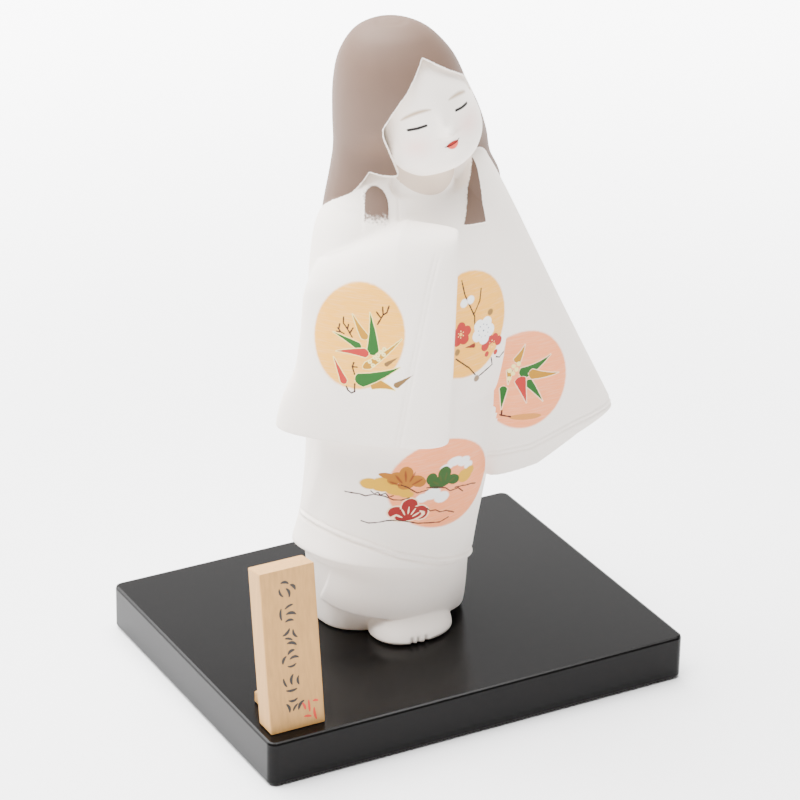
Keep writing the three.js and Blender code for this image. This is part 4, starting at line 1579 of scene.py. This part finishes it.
@dataclass
class Doll:
    """The doll itself: one painted clay casting."""

    name: str = "doll"
    node: str = "doll"
    slot: str = "painted_clay"
    fine_step: float = 0.2
    quick_step: float = 0.42
    most_triangles: int = 190_000
    block_low: Triple = (-29, -21, -1)
    block_high: Triple = (37, 18, 101)
    hair_inset: float = 0.1
    window_inset: float = 0.25
    hidden_below: float = -0.8
    casting: Casting = field(default_factory=Casting)
    finish: PaintedClay = PaintedClay()
    regions: dict[str, tuple[Picture, ...]] = field(default_factory=lambda: {
        "face": (FACE_PICTURE, NECK_SHADE_PICTURE),
        "right sleeve": (SLEEVE_PICTURE,),
        "front": (CHEST_PICTURE, LEFT_SLEEVE_PICTURE),
        "skirt": (SKIRT_PICTURE,),
    })

    def build(self) -> None:
        """Models the casting, paints it and sets it in the place of its solid."""
        low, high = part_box(self.node)
        unit = (high.z - low.z) / UNITS
        base = low.z
        step = self.fine_step
        block = ClayBlock(self.block_low, self.block_high, step)
        for form in self.casting.robe():
            block.add(form)
        block.carve(self.casting.neck_hollow)
        for form in (*self.casting.locks(), *self.casting.rest()):
            block.add(form)
        points, quads = block.skin()
        doll = self._mesh(points * unit + np.array((0, 0, base), np.float32), quads)
        self._thin_out(doll)
        self._paint(doll, unit, base)
        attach(doll, BODY_NAME)
        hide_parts(self.node)

    def _mesh(self, points: Grid, quads: Grid) -> bpy.types.Object:
        """Makes the object from points in metres and four-cornered faces that face outwards."""
        corners = points[quads[:, :3]]
        volume = np.einsum("ij,ij->i", corners[:, 0], np.cross(corners[:, 1], corners[:, 2])).sum()
        ordered = quads if volume > 0 else quads[:, ::-1]
        mesh = bpy.data.meshes.new(self.name)
        mesh.vertices.add(len(points))
        mesh.vertices.foreach_set("co", points.astype(np.float32).ravel())
        mesh.loops.add(ordered.size)
        mesh.loops.foreach_set("vertex_index", np.ascontiguousarray(ordered).astype(np.int32).ravel())
        mesh.polygons.add(len(ordered))
        mesh.polygons.foreach_set("loop_start", np.arange(0, ordered.size, 4, dtype=np.int32))
        mesh.update(calc_edges=True)
        mesh.validate()
        return placed(f"{self.name}_casting", mesh)

    def _thin_out(self, doll: bpy.types.Object) -> None:
        """Brings the mesh down to the most triangles that it may have."""
        triangles = 2 * len(doll.data.polygons)
        modifier = doll.modifiers.new("fewer faces", "DECIMATE")
        modifier.ratio = min(1.0, self.most_triangles / triangles)
        graph = bpy.context.evaluated_depsgraph_get()
        thinned = bpy.data.meshes.new_from_object(doll.evaluated_get(graph))
        doll.modifiers.clear()
        doll.data = thinned
        thinned.name = self.name
        thinned.shade_smooth()
        LOG.info("doll: %d faces out of %d triangles", len(thinned.polygons), triangles)

    def _paint(self, doll: bpy.types.Object, unit: float, base: float) -> None:
        """Marks where the hair and the pictures are painted and gives the doll its finishes."""
        mesh = doll.data
        corners = self._read(mesh.vertices, "co")
        points = tuple(corners.T / unit - np.array([[0], [0], [base / unit]], np.float32))
        forms = [*self.casting.robe(), *self.casting.rest()]
        distances = np.array([form.distance(points) for form in forms])
        shown = {form: np.delete(distances, number, 0).min(0) - own
                 for number, (form, own) in enumerate(zip(forms, distances))}
        mass = self.casting.hair
        hair = np.minimum(shown[mass] - self.hair_inset, mass.opening(points) - self.window_inset)
        hair = np.maximum.reduce([hair, *(lock.painted(points) for lock in self.casting.locks())])
        self._mark(mesh, "hair_paint", hair)
        centres = self._read(mesh.polygons, "center") / unit - (0, 0, base / unit)
        normals = self._read(mesh.polygons, "normal")
        first = np.empty(len(mesh.polygons), np.int32)
        mesh.polygons.foreach_get("loop_start", first)
        loops = np.empty(len(mesh.loops), np.int32)
        mesh.loops.foreach_get("vertex_index", loops)
        regions = np.zeros(len(mesh.polygons), np.int32)
        mesh.materials.append(self.finish.material("doll body", (), unit, base))
        for number, (name, pictures) in enumerate(self.regions.items(), 1):
            for picture in pictures:
                shows = shown[getattr(self.casting, picture.carrier)]
                self._mark(mesh, picture.attribute, shows)
                open_faces = shows[loops[first]] > self.hidden_below
                regions[picture.covers(centres, normals) & open_faces] = number
            mesh.materials.append(self.finish.material(f"doll {name}", pictures, unit, base))
            LOG.info("doll %s: %d faces", name, np.count_nonzero(regions == number))
        mesh.polygons.foreach_set("material_index", regions)

    @staticmethod
    def _read(rows: bpy.types.bpy_prop_collection, name: str) -> Grid:
        """Reads a vector of each element of a mesh."""
        flat = np.empty(3 * len(rows), np.float32)
        rows.foreach_get(name, flat)
        return flat.reshape(-1, 3)

    @staticmethod
    def _mark(mesh: bpy.types.Mesh, name: str, values: Grid) -> None:
        """Keeps a number at each point of a mesh."""
        attribute = mesh.attributes.new(name, "FLOAT", "POINT")
        attribute.data.foreach_set("value", values.astype(np.float32))


@dataclass(frozen=True)
class Lacquer:
    """Black lacquer on a wooden board, satin and slightly cloudy."""

    colour: Triple = linear(10, 9, 9)
    clouds: float = 40
    ripples: float = 200
    ripple_depth: float = 0.00002
    roughness: float = 0.22

    def material(self) -> bpy.types.Material:
        """Makes the finish."""
        shader = Shader("black lacquer")
        place = shader.place()
        cloudy = shader.noise(place, self.clouds, 3)
        return shader.surface(
            Base_Color=shader.lightened(self.colour, cloudy * 0.2),
            Roughness=self.roughness + cloudy * 0.04,
            Normal=shader.bump(shader.noise(place, self.ripples, 2), self.ripple_depth, 0.2),
            IOR=1.2,
        )


@dataclass(frozen=True)
class PlainWood:
    """Planed, uncoated, straight-grained wood. The grain runs up the tablet."""

    name: str
    picture: Picture | None = None
    grain: float = 900
    grain_stretch: float = 30
    grain_depth: float = 0.00005

    def material(self) -> bpy.types.Material:
        """Makes the finish."""
        shader = Shader(self.name)
        stretched = shader.mapped(shader.place(), size=(1, 1, self.grain_stretch))
        grain = shader.noise(stretched, self.grain, 3)
        coat = Coat(shader, Paint.WOOD)
        coat.tint(grain * 0.5)
        if self.picture:
            flat = self.picture.flat(shader, MILLIMETRE, 0.0)
            coat.show(self.picture, flat, self.picture.on_face(shader, MILLIMETRE))
        return shader.surface(
            Base_Color=coat.colour,
            Roughness=0.6,
            Normal=shader.bump(grain, self.grain_depth, 0.4),
        )


def dress_node(node: str, material: bpy.types.Material) -> None:
    """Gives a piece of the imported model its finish.

    Args:
        node: The piece's name.
        material: Its finish.
    """
    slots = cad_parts[node].data.materials
    if len(slots):
        slots[0] = material
    else:
        slots.append(material)
    LOG.info("%s: %s", node, material.name)


@dataclass
class Studio:
    """The pale floor, the soft light and the camera.

    The floor's glow starts at one distance from the middle and is full at the next, and its
    last number is its strength there.
    """

    camera_at: Triple = (-0.5616, -1.0052, 0.6562)
    camera_turn: Triple = (64.34, -1.01, -28.71)
    lens: float = 159.6
    sensor_width: float = 36
    sight: float = 20
    floor_size: float = 6.0
    floor_gap: float = 0.0005
    floor_colour: Triple = linear(243, 243, 244)
    glow: Triple = (0.2, 0.85, 4.0)
    room_colour: Triple = (1.0, 0.96, 0.92)
    room_strength: float = 0.3
    lit: Triple = (0, 0, 0.1)

    def build(self) -> None:
        """Sets up the whole studio."""
        self._camera()
        self._floor()
        self._surroundings()
        self._softbox("overhead light", (-0.4, 0.6, 2.0), (2.8, 2.8), 410.0)
        self._softbox("low back light", (1.1, 2.0, 0.66), (4.0, 1.3), 46.0)

    def _camera(self) -> None:
        """Places the camera at the photograph's viewing angle."""
        data = bpy.data.cameras.new("camera")
        data.lens = self.lens
        data.sensor_width = self.sensor_width
        data.clip_end = self.sight
        camera = placed("camera", data)
        camera.location = self.camera_at
        camera.rotation_euler = Euler([radians(angle) for angle in self.camera_turn])
        bpy.context.scene.camera = camera

    def _floor(self) -> None:
        """Lays the pale floor that the part stands on."""
        half = self.floor_size / 2
        mesh = bpy.data.meshes.new("floor")
        corners_round = [(-half, -half, 0), (half, -half, 0), (half, half, 0), (-half, half, 0)]
        mesh.from_pydata(corners_round, [], [(0, 1, 2, 3)])
        shader = Shader("pale floor")
        tone = shader.lightened(self.floor_colour, shader.noise(shader.place(), 3) * 0.01)
        glow = shader.measure("LENGTH", shader.place()).rising(*self.glow)
        mesh.materials.append(shader.surface(
            Base_Color=tone, Roughness=0.7, Emission_Color=shader.grey(glow), Emission_Strength=1.0))
        floor = placed("floor", mesh)
        floor.location.z = -self.floor_gap
        floor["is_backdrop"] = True

    def _surroundings(self) -> None:
        """Fills the room with an even, slightly warm light."""
        world = bpy.data.worlds.new("studio")
        world.use_nodes = True
        inputs = world.node_tree.nodes["Background"].inputs
        inputs["Color"].default_value = (*self.room_colour, 1.0)
        inputs["Strength"].default_value = self.room_strength
        bpy.context.scene.world = world

    def _softbox(self, name: str, at: Triple, size: Pair, power: float) -> None:
        """Hangs a soft light that faces the figure."""
        data = bpy.data.lights.new(name, "AREA")
        data.energy = power
        data.shape = "RECTANGLE"
        data.size, data.size_y = size
        light = placed(name, data)
        light.location = at
        light.rotation_euler = (Vector(self.lit) - light.location).to_track_quat("-Z", "Y").to_euler()


def corners(bounds: tuple[Vector, Vector]) -> list[list[float]]:
    """Two corners as plain lists of numbers."""
    return [list(corner) for corner in bounds]


def main() -> None:
    """Builds the studio and dresses the part, piece by piece."""
    logging.basicConfig(level=logging.INFO, format="%(name)s: %(message)s")
    solid_box = corners(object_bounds())
    Studio().build()
    Doll().build()
    dress_node("plinth", Lacquer().material())
    dress_node("name_tablet", PlainWood("written wood", TABLET_PICTURE).material())
    dress_node("tablet_prop", PlainWood("plain wood").material())
    {"solids": solid_box, "dressed": corners(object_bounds())}


if __name__ == "__main__":
    main()
